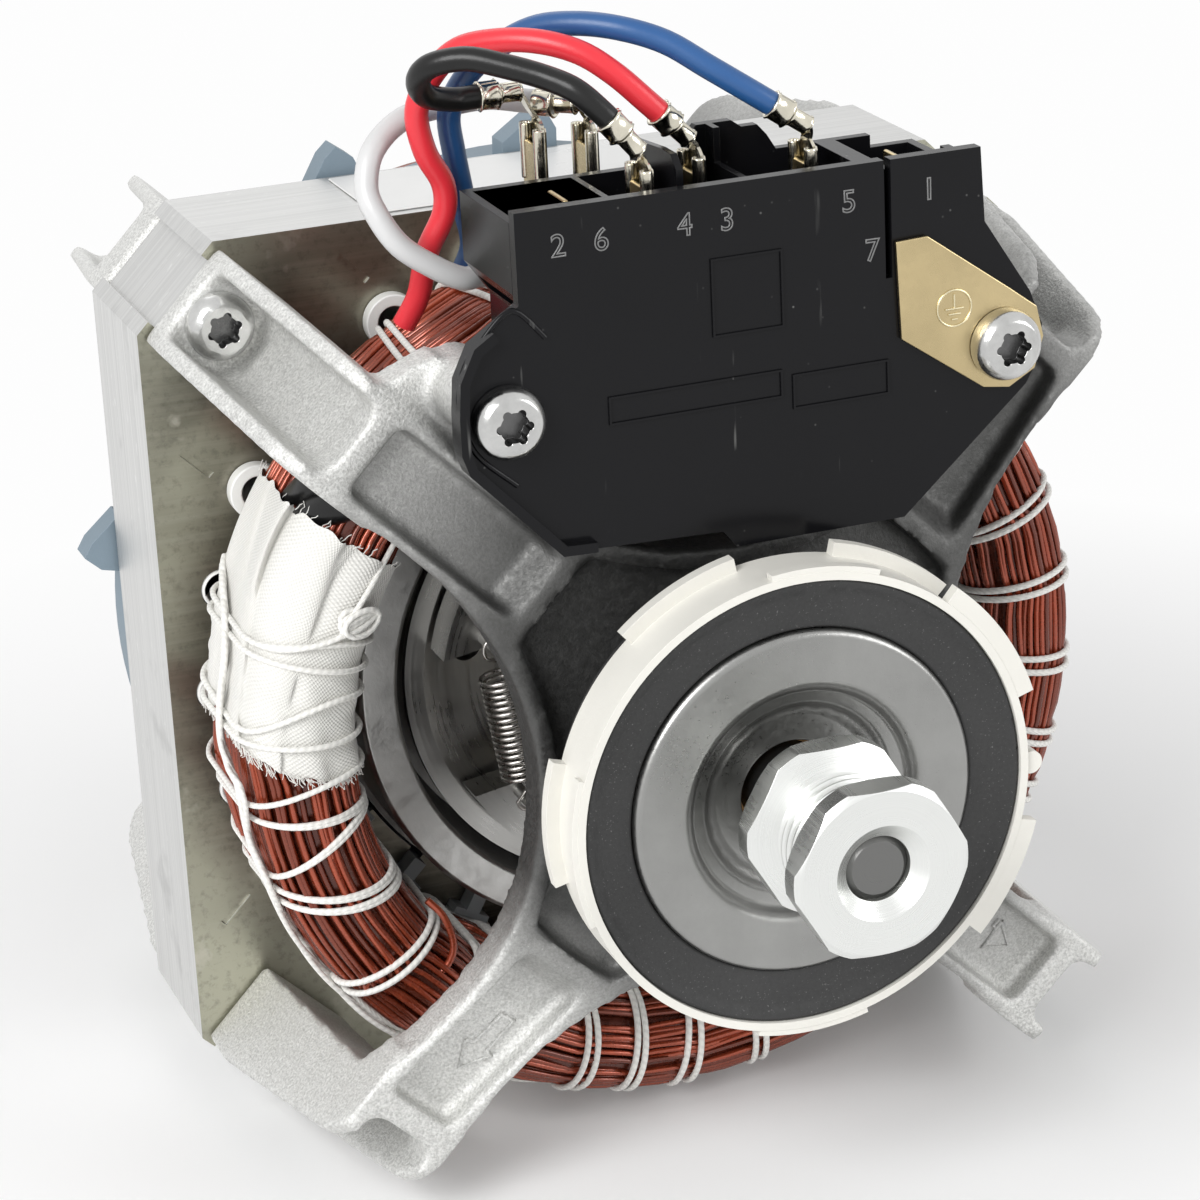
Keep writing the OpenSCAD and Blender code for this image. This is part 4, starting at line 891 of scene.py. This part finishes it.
# Lines on the front bundle as (angle, s, extra lift): the rope along the ties, the knot's two ends and the tubes
ROPE = [
    (158, 46, -1.2), (160.5, 42.5, -0.4), (163.5, 38.5, 0), (168, 35.6, 0.1), (177.5, 36.2, 0.1),
    (180.5, 32.8, 0.2), (183, 29, 0.3), (190.5, 29.2, -0.3), (196.5, 28, -0.5), (206, 29.5, -0.6),
    (216, 30.5, -0.6), (226, 30, -0.6), (236, 31.5, -1.2),
]
KNOT_ENDS = [
    [(157, 14, 0.8), (154, 13, 0.7), (150.5, 11.2, 0.2), (147, 9.2, -0.6), (143, 7.5, -1.3)],
    [(158.5, 13, 0.7), (161, 16.5, 0.4), (163, 21, 0.1), (163.5, 26, 0)],
]
TUBES = [
    [
        (157, 25, -6.5), (151, 25, -5.2), (148, 24.8, -3.9), (145.5, 24.6, -2.9), (142, 24.2, -1.2),
        (137, 23.5, -0.4), (129, 23, -3),
    ],
    [
        (157, 17.6, -6.5), (151, 17.6, -5.2), (148, 17.8, -3.9), (145.5, 18, -2.9), (142, 18.2, -1.2),
        (137, 18, -0.4), (129, 17, -3),
    ],
]


def on_line(points, steps, lift, sway=0.0, twist=0.0):
    """Points in mm along a line on the front bundle, which may wind round that line."""
    made = []
    for i, (a, s, up) in enumerate(smooth_line(points, steps)):
        t = twist + i * 0.9 / steps * 2
        made.append(on_bundle(a, s + sway * math.cos(t), lift + up + sway * math.sin(t)))
    return made


def sleeve_ties(name, cord, lay):
    """Single cords round the sleeve, a rope along it, its knot and two tubes that enter it."""
    loops = []
    for ties, low, rise, drop, shifts in TIES:
        for inner, outer in ties:
            for shift in shifts:
                loop = []
                for i in range(96):
                    t = i / 96
                    over = (t - low) / rise if t < 0.30 else 1 - (t - 0.30) / (1 - rise)
                    over = min(1, over) if t >= low else (low - t) / (1 - rise)
                    over = over * over * (3 - 2 * over)
                    a = inner + (outer - inner) * over + shift * (1 - over)
                    loop.append(on_bundle(a, girth_of(lay) * t, lay - drop))
                loops.append(loop)
    tied = strands(name, loops, cord / 2, 8, "cord", closed=True)
    lines = [on_line(ROPE, 8, lay + 0.35, cord / MM * 0.62, TURN * k / 4) for k in range(4)]
    for k in range(5):
        tilt, size = 0.7 * k, 1.5 + 0.22 * k
        turns = [TURN * j / 9 for j in range(10)]
        ring = [(156.6 + size * math.cos(x), 12.6 + size * 1.25 * math.sin(x + tilt), 0.3 + 0.28 * k) for x in turns]
        lines.append(on_line(ring, 3, lay))
    lines += [on_line(line, 5, lay) for line in KNOT_ENDS]
    runs = strands(name + "_runs", lines, cord / 2, 8, "cord")
    tubes = strands(name + "_tubes", [on_line(line, 6, lay) for line in TUBES], TUBE_R, 16, "black_lead")
    return joined(name, tied, runs, tubes)


def frays(name, way, count):
    """Loose yarn ends along one edge of the cloth: the lower one for 1, the upper one for -1."""
    rng = random.Random(17)
    around = girth_of(CLOTH_LAY)
    lines = []
    for _ in range(count):
        w = rng.random()
        s = around * CLOTH_START + around * CLOTH_SHARE * w
        start = cloth_place(1 if way > 0 else 0, w)
        reach, bend = rng.uniform(0.5, 1.7), rng.uniform(-0.7, 0.7)
        lines.append(
            [
                on_bundle(start + way * (reach * t - 0.2), s + bend * t * t, CLOTH_LAY + 0.2 + 0.5 * t * rng.random())
                for t in (0, 0.35, 0.7, 1)
            ]
        )
    return strands(name, lines, YARN_R, 4, "cord")


# ---- Leads

# Routes of the insulated leads in millimetres, as in the frame
ROUTES = {
    "black": [
        (-15.5, 20, 93.5), (-18, 20.5, 96.5), (-21, 22, 99.5), (-24, 25, 101), (-28.5, 28, 102.5),
        (-33, 31, 103.5), (-37, 34, 102.5), (-38, 37, 100), (-36, 40, 97), (-31.5, 42, 95.5),
        (-28, 42, 95.5), (-25.5, 42, 95.5),
    ],
    "red": [
        (-5.5, 27, 92), (-9, 27, 95.5), (-13, 28, 99.5), (-17, 30, 102.5), (-21.5, 33, 104),
        (-26, 37, 104), (-30.5, 41.5, 102.5), (-33.5, 45, 98.5), (-35.5, 46.5, 93.5),
        (-34.5, 47, 87.5), (-32, 47.5, 82.5), (-32, 48, 78), (-34.5, 49, 72.5), (-35.5, 51, 66),
        (-37.5, 52.5, 61.5),
    ],
    "blue": [
        (9.5, 22, 92.5), (4.5, 23, 96), (-0.5, 25, 99.5), (-5.5, 28, 103), (-11, 31, 105),
        (-16, 35, 105.5), (-20.5, 39.5, 104.5), (-25, 44, 101), (-28, 48, 96.5), (-29.5, 50.5, 91.5),
        (-29, 51, 86), (-28, 51.5, 80), (-27.5, 52, 77), (-26.5, 53, 71.5), (-28, 54.5, 66.5),
    ],
    "white": [
        (-16, 45, 92.5), (-19, 48, 92.5), (-23, 52.5, 92.5), (-28, 55.5, 91.5), (-35.5, 53, 91),
        (-41, 50, 88), (-43, 48, 83.5), (-42.5, 46, 80), (-40, 44, 75.5), (-35.5, 43, 72),
        (-31.5, 43, 69.8), (-28.5, 44.5, 69.4), (-24, 46.5, 68.4),
    ],
}
# Push-on receptacles: middle x, middle y, bottom z, lead, which end of its route
RECEPTACLES = [
    (-13.2, 20.5, 80.5, "black", 0),
    (-3.0, 27.0, 79.5, "red", 0),
    (11.5, 22.0, 80.0, "blue", 0),
    (-20.5, 42.0, 82.5, "black", -1),
    (-12.3, 43.5, 81.0, "white", 0),
]


def strip(name, line, width, thick, up):
    """A bent strip of tinned sheet: a flat section carried along a line."""
    verts = []
    n = len(line)
    for i, p in enumerate(line):
        t = (Vector(line[min(i + 1, n - 1)]) - Vector(line[max(i - 1, 0)])).normalized()
        side = t.cross(Vector(up)).normalized()
        flat = side.cross(t)
        for a, b in ((-1, -1), (1, -1), (1, 1), (-1, 1)):
            verts.append((Vector(p) + side * a * width[i] / 2 + flat * b * thick / 2) * MM)
    faces = [*grid(n, 4, closed=(False, True)), (3, 2, 1, 0), tuple(range((n - 1) * 4, n * 4))]
    return mesh_object(name, verts, faces, finish("tin"), smooth=False)


def shell(name, verts, cols, thick, offset=-1, flip=False):
    """Rows of points as sheet with a thickness in millimetres."""
    obj = mesh_object(name, verts, grid(len(verts) // cols, cols, flip), finish("tin"))
    solid = obj.modifiers.new("wall", "SOLIDIFY")
    solid.thickness = thick * MM
    solid.offset = offset
    return settle(obj)


def receptacle(x, y, z, lead, end):
    """One push-on receptacle, edge-on to the front: rolled box, neck, wire and insulation crimp."""
    route = [Vector(p) for p in ROUTES[lead]]
    if end == -1:
        route = route[::-1]
    d = (route[1] - route[0]).normalized()
    parts = []
    # The two rolled sides and the floor of the box
    curl = [math.radians(-90 + 30 * i) for i in range(10)]
    for side in (-1, 1):
        verts = []
        for h, grow in ((0.0, 0.93), (0.25, 1.0), (7.6, 1.0), (7.9, 0.93)):
            for a in curl:
                px, py = 0.15 - 0.9 * math.sin(a) * grow, side * (2.75 + 0.85 * math.cos(a) * grow)
                verts.append(Vector((x + px, y + py, z + h)) * MM)
        parts.append(shell("roll", verts, len(curl), 0.35, flip=side < 0))
    floor = [(x + 1.05, y, z + h) for h in (0.0, 0.4, 3.0, 7.4, 7.9)]
    parts.append(strip("floor", floor, [5.2, 5.6, 5.6, 5.6, 5.2], 0.4, (1, 0, 0)))
    # Neck that bends from the floor to the crimp barrels
    foot = Vector((x + 1.0, y, z + 7.7))
    start = route[0] - d * 2.5
    bend = [foot, foot + Vector((-0.1, 0, 1.0)), (foot + start) / 2 + Vector((0.5, 0, 0.2)), start - d * 1.0, start]
    neck = smooth_line(bend, 4)
    parts.append(strip("neck", neck, [4.6 - 2.2 * min(1, i / 5) for i in range(len(neck))], 0.45, (1, 0, 0.01)))
    # Wire crimp, then insulation crimp, as rolled open barrels whose last columns turn in
    across = d.cross(Vector((0, 1, 0))).normalized()
    above = across.cross(d)
    cols, inward = 26, 4
    for begin, size, r in ((-1.0, 2.8, 1.42), (2.3, 2.6, 2.02)):
        verts = []
        for h, flare in ((0.0, 1.12), (0.3, 1.0), (size - 0.3, 1.0), (size, 1.12)):
            for i in range(cols):
                a = math.radians(-150 + 345 * i / (cols - 1))
                roll = r * flare * (1.0 - 0.05 * max(0, i - cols + inward))
                verts.append((start + d * (begin + h) + (across * math.cos(a) + above * math.sin(a)) * roll) * MM)
        parts.append(shell("crimp", verts, cols, 0.4, offset=1))
    # Bare conductor between the two crimps
    parts.append(strands("core", [[start + d * t for t in (-1.4, 0.5, 2.6)]], CONDUCTOR_R, 12, "tin"))
    return joined("receptacle", *parts)


# ---- Signs

# Depth of the marks on the cover's front
MARKS_Y = COVER_FRONT - 0.05
# Raised numbers of the terminals: text, x, z
NUMBERS = (
    ("2", -28.0, 81.3), ("6", -21.9, 81.3), ("4", -9.9, 81.6), ("3", -3.8, 81.5),
    ("5", 14.1, 81.5), ("7", 17.4, 74.2), ("1", 26.1, 81.6),
)
# Raised outlines: x from and to, z from and to
OUTLINES = ((-22, 3.5, 55.5, 59.5), (5, 19.5, 53.5, 58.5), (-6.5, 4, 65.5, 76.5))
# Raised rim round the cover's left ear, as (x, z)
EAR_RIM = [
    (-30.5, 69.2), (-33.9, 73.0), (-36.1, 73.2), (-39.4, 70.0), (-42.0, 66.8), (-43.0, 63.0), (-42.9, 60.0),
    (-42.0, 56.4), (-40.2, 53.4), (-35.6, 49.2),
]


def sign(text, x, z):
    """The outline of a number, raised on the cover and read from the front."""
    curve = bpy.data.curves.new("sign", "FONT")
    curve.body = text
    curve.size = 4.4 * MM
    curve.fill_mode = "NONE"
    curve.bevel_depth = 0.11 * MM
    curve.align_x = "CENTER"
    curve.align_y = "CENTER"
    obj = link(bpy.data.objects.new("sign", curve))
    mesh = bpy.data.meshes.new_from_object(obj.evaluated_get(bpy.context.evaluated_depsgraph_get()))
    bpy.data.objects.remove(obj)
    place = Matrix.Translation((x * MM, MARKS_Y * MM, z * MM))
    mesh.transform(place @ Matrix.Rotation(math.radians(90), 4, "X"))
    mesh.materials.clear()
    # The raised numbers are a paler grey than the cover
    mesh.materials.append(finish("raised_grey"))
    return link(bpy.data.objects.new("sign", mesh))


def raised_frame(x0, x1, z0, z1):
    """A thin raised outline on the cover, with nothing written in it."""
    line, height = 0.3, 0.25
    verts, faces = [], []
    for grow in (0, line):
        for px, pz in ((x0, z0), (x1, z0), (x1, z1), (x0, z1)):
            sx, sz = (1 if px == x0 else -1) * grow, (1 if pz == z0 else -1) * grow
            for depth in (0, -height):
                verts.append(Vector((px + sx, MARKS_Y + depth, pz + sz)) * MM)
    for k in range(4):
        a, b = 2 * k, 2 * ((k + 1) % 4)
        faces += [(a + 1, b + 1, b + 9, a + 9), (a, b, b + 1, a + 1), (a + 9, b + 9, b + 8, a + 8)]
    return mesh_object("outline", verts, faces, finish("black"), smooth=False)


def earth_symbol():
    """Lines of the earth symbol on the strap: a ring, a stem and three bars."""
    y, size, top = COVER_FRONT - 1.0, 2.6, 64.6
    ring = [(EARTH_X + size * math.cos(a), y, top + size * math.sin(a)) for a in (TURN * i / 32 for i in range(32))]
    bars = [[(EARTH_X, y, 66.6), (EARTH_X, y, EARTH_Z)]]
    for drop, half in ((0, 1.4), (0.75, 0.95), (1.5, 0.45)):
        bars.append([(EARTH_X - half, y, EARTH_Z - drop), (EARTH_X + half, y, EARTH_Z - drop)])
    # The symbol's lines are a paler brass than the strap
    ring = strands("earth_ring", [ring], INK_R, 6, "ink", closed=True)
    return ring, strands("earth_bars", bars, INK_R, 6, "ink")


# Raised lines in the pockets of the lower arms, as (x, z): an arrow and a triangle
CASTING_MARKS = (
    (
        (-42.3, -41.0), (-41.0, -41.7), (-37.0, -37.5), (-35.2, -38.9), (-39.2, -43.4), (-38.6, -44.5),
        (-43.5, -45.7), (-42.3, -41.0),
    ),
    ((45.1, -40.9), (46.6, -45.8), (41.7, -44.6), (45.1, -40.9)),
    ((43.9, -41.6), (43.6, -41.2), (44.6, -40.4)),
)


def on_pocket(x, z):
    """A point on the sloping floor of an arm's pocket."""
    along = (abs(x) + abs(z)) / math.sqrt(2)
    return (x, 27.6 + (along - 45) * 0.2, z)


# A loose end of wire under the left side of the front bundle
PIGTAIL = [
    (-41.5, 47.5, -26), (-39.4, 46.5, -28.8), (-38.3, 46, -33.4), (-39.9, 46, -36.9), (-44.2, 46.3, -39.3),
    (-48.8, 46.8, -39.2), (-51.8, 47, -38.1), (-51.3, 46.5, -36.7), (-46.8, 46, -37.3),
]


# ---- Operators, one for each group of pieces


CAMERA_PLACE = (-0.191529, -0.445882, 0.2159)
# The camera's right, up and backward directions
CAMERA_AXES = (
    (0.932358, -0.358523, -0.046585),
    (0.168175, 0.316023, 0.933727),
    (-0.320041, -0.878403, 0.354941),
)


class PieceOperator:
    """What the operators of this file share."""

    bl_options = {"REGISTER", "UNDO"}


class MOTOR_OT_camera(PieceOperator, bpy.types.Operator):
    """Camera at the angle of the photograph"""

    bl_idname = "motor.camera"
    bl_label = "Camera"

    def execute(self, context):
        data = bpy.data.cameras.new("camera")
        camera = link(bpy.data.objects.new("camera", data))
        data.sensor_width = 36
        data.lens = context.scene.motor_stage.lens
        data.clip_start = 0.01
        turn = Matrix(CAMERA_AXES).transposed()
        camera.matrix_world = Matrix.Translation(CAMERA_PLACE) @ turn.to_4x4()
        context.scene.camera = camera
        return {"FINISHED"}


class MOTOR_OT_leads(PieceOperator, bpy.types.Operator):
    """Insulated leads, held at both ends"""

    bl_idname = "motor.leads"
    bl_label = "Leads"

    def execute(self, context):
        for shade, route in ROUTES.items():
            lead = strands(shade + "_insulation", [smooth_line(route, 6)], LEAD_R, 20, shade + "_lead")
            seat(lead, "frame", [shade + "_lead"])
        return {"FINISHED"}


class MOTOR_OT_stator(PieceOperator, bpy.types.Operator):
    """Lamination stack with its slot insulation and label"""

    bl_idname = "motor.stator"
    bl_label = "Stator"

    def execute(self, context):
        dress("steel", "stator_core")
        dress("wedge", "slot_wedges")
        eased("slot_cuffs", "slot_liners", "liner", SOFT)
        eased("bare_label", "label_plate", "label", FINE, segments=1)
        return {"FINISHED"}


class MOTOR_OT_windings(PieceOperator, bpy.types.Operator):
    """Front and rear end windings"""

    bl_idname = "motor.windings"
    bl_label = "Windings"

    def execute(self, context):
        s = context.scene.motor_winding
        front = bundle("front_wires", 1, s.rounds, steps=144, lay=7.95, laces=LACES, seed=3)
        inner = bundle_core("front_core", 1, lay=7.3)
        fans = slot_wires("front_fans", 1, STACK_FRONT - SLOT_START, seed=5)
        loose = strands("pigtail", [smooth_line(PIGTAIL, 6)], s.wire * 0.6, 8, "copper", [0.8])
        seat(joined("front_winding", front, inner, fans, loose), "frame", ["front_turns"])
        rear = bundle("rear_wires", -1, rounds=70, steps=110, lay=7.9, laces=[], seed=7)
        inner = bundle_core("rear_core", -1, lay=7.25)
        fans = slot_wires("rear_fans", -1, STACK_BACK + SLOT_START, seed=9)
        seat(joined("rear_winding", rear, inner, fans), "frame", ["rear_turns", "winding_core"])
        return {"FINISHED"}


class MOTOR_OT_lacing(PieceOperator, bpy.types.Operator):
    """Lacing cord and the woven sleeve"""

    bl_idname = "motor.lacing"
    bl_label = "Lacing"

    def execute(self, context):
        cord = context.scene.motor_winding.cord
        bare = [a for a in LACES if not 143 < a % 360 < 188]
        cords = lacing("front_lacing", bare, cord, lay=8.6, first=180, last=240)
        seat(cords, "frame", ["winding_lacing"])
        cloth = seat(sleeve("cloth_sleeve"), "frame", ["winding_sleeve"])
        ties = sleeve_ties("sleeve_ties", cord * 0.85, CLOTH_LAY + 0.45)
        ties = joined("sleeve_ties", ties, frays("frayed_edge", 1, count=240), frays("frayed_top", -1, count=26))
        seat(ties, "frame")
        return {"FINISHED"}


class MOTOR_OT_shields(PieceOperator, bpy.types.Operator):
    """Cast end shields, bolts and bearings"""

    bl_idname = "motor.shields"
    bl_label = "End shields"

    def execute(self, context):
        cell = context.scene.motor_edges.cast_cell
        front = casting("front_casting", "front_shield", cell, keep=0.7)
        marks = [[on_pocket(x, z) for x, z in line] for line in CASTING_MARKS]
        joined("front_casting", front, strands("marks", marks, 0.0004, 6, "cast"))
        casting("rear_casting", "rear_shield", cell * 1.2, keep=0.6)
        paint_recess_shade(eased("long_screws", "through_bolts", "screw", FINE, angle=40), BOLT_AXES)
        dress("bronze", "front_bearing", "rear_bearing")
        return {"FINISHED"}


class MOTOR_OT_mounts(PieceOperator, bpy.types.Operator):
    """Resilient mounts and the rear guard"""

    bl_idname = "motor.mounts"
    bl_label = "Mounts"

    def execute(self, context):
        e = context.scene.motor_edges
        for end in ("front", "rear"):
            eased(end + "_dish", end + "_mount_dish", "dish", SOFT, angle=40)
            eased(end + "_rubber", end + "_mount_rubber", "rubber", BLUNT, angle=40)
            eased(end + "_ring", end + "_mount_ring", "ring", e.moulded)
        eased("guard_skirt", "rear_guard", "guard", CRISP)
        return {"FINISHED"}


class MOTOR_OT_switch(PieceOperator, bpy.types.Operator):
    """Start switch, its strap, screws, tabs and lever"""

    bl_idname = "motor.switch"
    bl_label = "Start switch"

    def execute(self, context):
        e = context.scene.motor_edges
        eased("switch_body", "switch_housing", "black", CRISP)
        cover = eased("switch_front", "switch_cover", "black", e.moulded)
        marks = [sign(*number) for number in NUMBERS] + [raised_frame(*outline) for outline in OUTLINES]
        rim = smooth_line([(x, MARKS_Y + 0.1, z) for x, z in EAR_RIM], 5)
        joined("switch_front", cover, *marks, strands("ear_rim", [rim], 0.00042, 8, "black"))
        screws = eased("switch_screw_pair", "switch_screws", "screw", FINE, angle=40)
        paint_recess_shade(screws, SWITCH_SCREW_AXES)
        joined("earth_strap", eased("earth_strap", "ground_strap", "brass", SHEET), *earth_symbol())
        eased("spade_tabs", "switch_tabs", "brass", SHEET, segments=1)
        eased("protector_spades", "protector_tabs", "brass", SHEET, segments=1)
        eased("protector_case", "motor_protector", "black", e.moulded)
        eased("fork_lever", "switch_lever", "black", CRISP, body="lever")
        return {"FINISHED"}


class MOTOR_OT_receptacles(PieceOperator, bpy.types.Operator):
    """Push-on receptacles of the leads"""

    bl_idname = "motor.receptacles"
    bl_label = "Receptacles"

    def execute(self, context):
        made = joined("push_on_receptacles", *[receptacle(*r) for r in RECEPTACLES])
        seat(made, "frame", ["wire_receptacles"])
        return {"FINISHED"}


class MOTOR_OT_rotor(PieceOperator, bpy.types.Operator):
    """Rotor, shaft and pulley"""

    bl_idname = "motor.rotor"
    bl_label = "Rotor"

    def execute(self, context):
        dress("rotor", "rotor_core")
        dress("shaft", "motor_shaft")
        dress("zinc", "thrust_washers")
        eased("end_rings", "rotor_cage", "cage", SOFT, body="rotor")
        width = context.scene.motor_edges.machined
        eased("belt_pulley", "pulley", "pulley", width, angle=28, body="rotor")
        return {"FINISHED"}


class MOTOR_OT_governor(PieceOperator, bpy.types.Operator):
    """Centrifugal governor and its springs"""

    bl_idname = "motor.governor"
    bl_label = "Governor"

    def execute(self, context):
        dress("plate", "governor_plate", "governor_weight_upper", "governor_weight_lower")
        dress("spool", "governor_spool")
        for side, x in (("left", -SPRING_X), ("right", SPRING_X)):
            obj = strands(side + "_coils", [spring_line(x, SPRING_Y)], SPRING_WIRE_R, 10, "spring")
            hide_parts("governor_spring_" + side)
            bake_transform(obj)
        return {"FINISHED"}


def spring_line(x, y):
    """Hook, close coils, hook: in millimetres, turned as the rotor is at rest."""
    coils, steps, half, r = 17, 20, 8.6, 3.15
    hook, reach = 1.75, 13 - 0.35
    line = []
    for i in range(13):
        a = math.radians(270 * (12 - i) / 12)
        line.append((-hook * math.cos(a), 0, -(reach + hook * math.sin(a))))
    for i in range(coils * steps + 1):
        a = TURN * i / steps
        line.append((r * math.cos(a), r * math.sin(a), -half + 2 * half * i / (coils * steps)))
    for i in range(13):
        a = math.radians(270 * i / 12)
        line.append((hook * math.cos(a), 0, reach + hook * math.sin(a)))
    c, s = math.cos(REST_TURN), math.sin(REST_TURN)
    return [((x + p[0]) * c + p[2] * s, y + p[1], -(x + p[0]) * s + p[2] * c) for p in line]


def whiten(f):
    """The floor fades to plain white away from the object and keeps its shadow near it."""
    off = f.node("VectorMath", {0: f.point, 1: (0, 0.09, 0)}, operation="SUBTRACT").outputs[0]
    flat = f.node("VectorMath", {0: off, 1: (1, 1, 0)}, operation="MULTIPLY").outputs[0]
    far = f.node("VectorMath", {0: flat}, operation="LENGTH").outputs["Value"]
    share = f.maths("MULTIPLY", f.ranged(far, 0.10, 0.26, 0.12, 1.0), f.seen())
    white = f.node("Emission", {"Color": (1, 1, 1, 1), "Strength": 0.985})
    mix = f.node("MixShader", {0: share, 1: f.shader.outputs[0], 2: white.outputs[0]})
    f.plug(f.output, {"Surface": mix.outputs[0]})


class MOTOR_OT_stage(PieceOperator, bpy.types.Operator):
    """Floor, room light and lamps"""

    bl_idname = "motor.stage"
    bl_label = "Stage"

    def execute(self, context):
        s = context.scene.motor_stage
        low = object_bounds()[0].z - 0.2 * MM
        f = Finish("pale_floor", Roughness=0.9)
        f.surface(f.mixed(f.noise(3, 2), (0.93, 0.93, 0.93), (0.95, 0.95, 0.95)))
        whiten(f)
        corners = [(-6, -6, low), (6, -6, low), (6, 6, low), (-6, 6, low)]
        mesh_object("floor", corners, [(0, 1, 2, 3)], f.material)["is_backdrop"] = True
        world = bpy.data.worlds.new("room")
        context.scene.world = world
        world.use_nodes = True
        world.node_tree.nodes.clear()
        w = Nodes(world.node_tree)
        # The light on the object, then the white that shows behind it
        lit, shown = (w.node("Background", {"Color": (1, 1, 1, 1), "Strength": k}).outputs[0] for k in (s.sky, 1.0))
        mix = w.node("MixShader", {0: w.seen(), 1: lit, 2: shown})
        w.node("OutputWorld", {"Surface": mix.outputs[0]})
        for name, place, size, power in (
            ("key", (-0.65, -0.45, 0.55), 0.5, s.key),
            ("fill", (0.75, -0.55, 0.35), 0.5, s.fill),
            ("rim", (0.1, 0.8, 0.7), 0.6, s.fill * 0.3),
        ):
            data = bpy.data.lights.new(name, "AREA")
            data.shape = "SQUARE"
            data.size = size
            data.energy = power
            lamp = link(bpy.data.objects.new(name, data))
            lamp.location = place
            lamp.rotation_euler = (Vector((0, 0.07, 0)) - Vector(place)).to_track_quat("-Z", "Y").to_euler()
        context.scene.view_settings.view_transform = "Standard"
        return {"FINISHED"}


class MOTOR_PT_panel(bpy.types.Panel):
    """Lists the settings and the operators"""

    bl_label = "Laundry drive motor"
    bl_idname = "MOTOR_PT_panel"
    bl_space_type = "VIEW_3D"
    bl_region_type = "UI"
    bl_category = "Motor"

    def draw(self, context):
        for group in GROUPS:
            box = self.layout.box()
            box.label(text=group)
            settings = getattr(context.scene, group)
            for key in settings.__annotations__:
                box.prop(settings, key)
        for operator in OPERATORS:
            self.layout.operator(operator.bl_idname)


GROUPS = {
    "motor_colours": MotorColours,
    "motor_winding": MotorWinding,
    "motor_edges": MotorEdges,
    "motor_stage": MotorStage,
}
OPERATORS = [
    MOTOR_OT_camera,
    MOTOR_OT_leads,
    MOTOR_OT_stator,
    MOTOR_OT_windings,
    MOTOR_OT_lacing,
    MOTOR_OT_shields,
    MOTOR_OT_mounts,
    MOTOR_OT_switch,
    MOTOR_OT_receptacles,
    MOTOR_OT_rotor,
    MOTOR_OT_governor,
    MOTOR_OT_stage,
]


def register():
    for cls in (*GROUPS.values(), *OPERATORS, MOTOR_PT_panel):
        bpy.utils.register_class(cls)
    for name, group in GROUPS.items():
        setattr(bpy.types.Scene, name, PointerProperty(type=group))


def unregister():
    for name in GROUPS:
        delattr(bpy.types.Scene, name)
    for cls in (MOTOR_PT_panel, *reversed(OPERATORS), *reversed(GROUPS.values())):
        bpy.utils.unregister_class(cls)


def main():
    register()
    for operator in OPERATORS:
        getattr(bpy.ops.motor, operator.bl_idname.split(".")[1])()


if __name__ == "__main__":
    main()
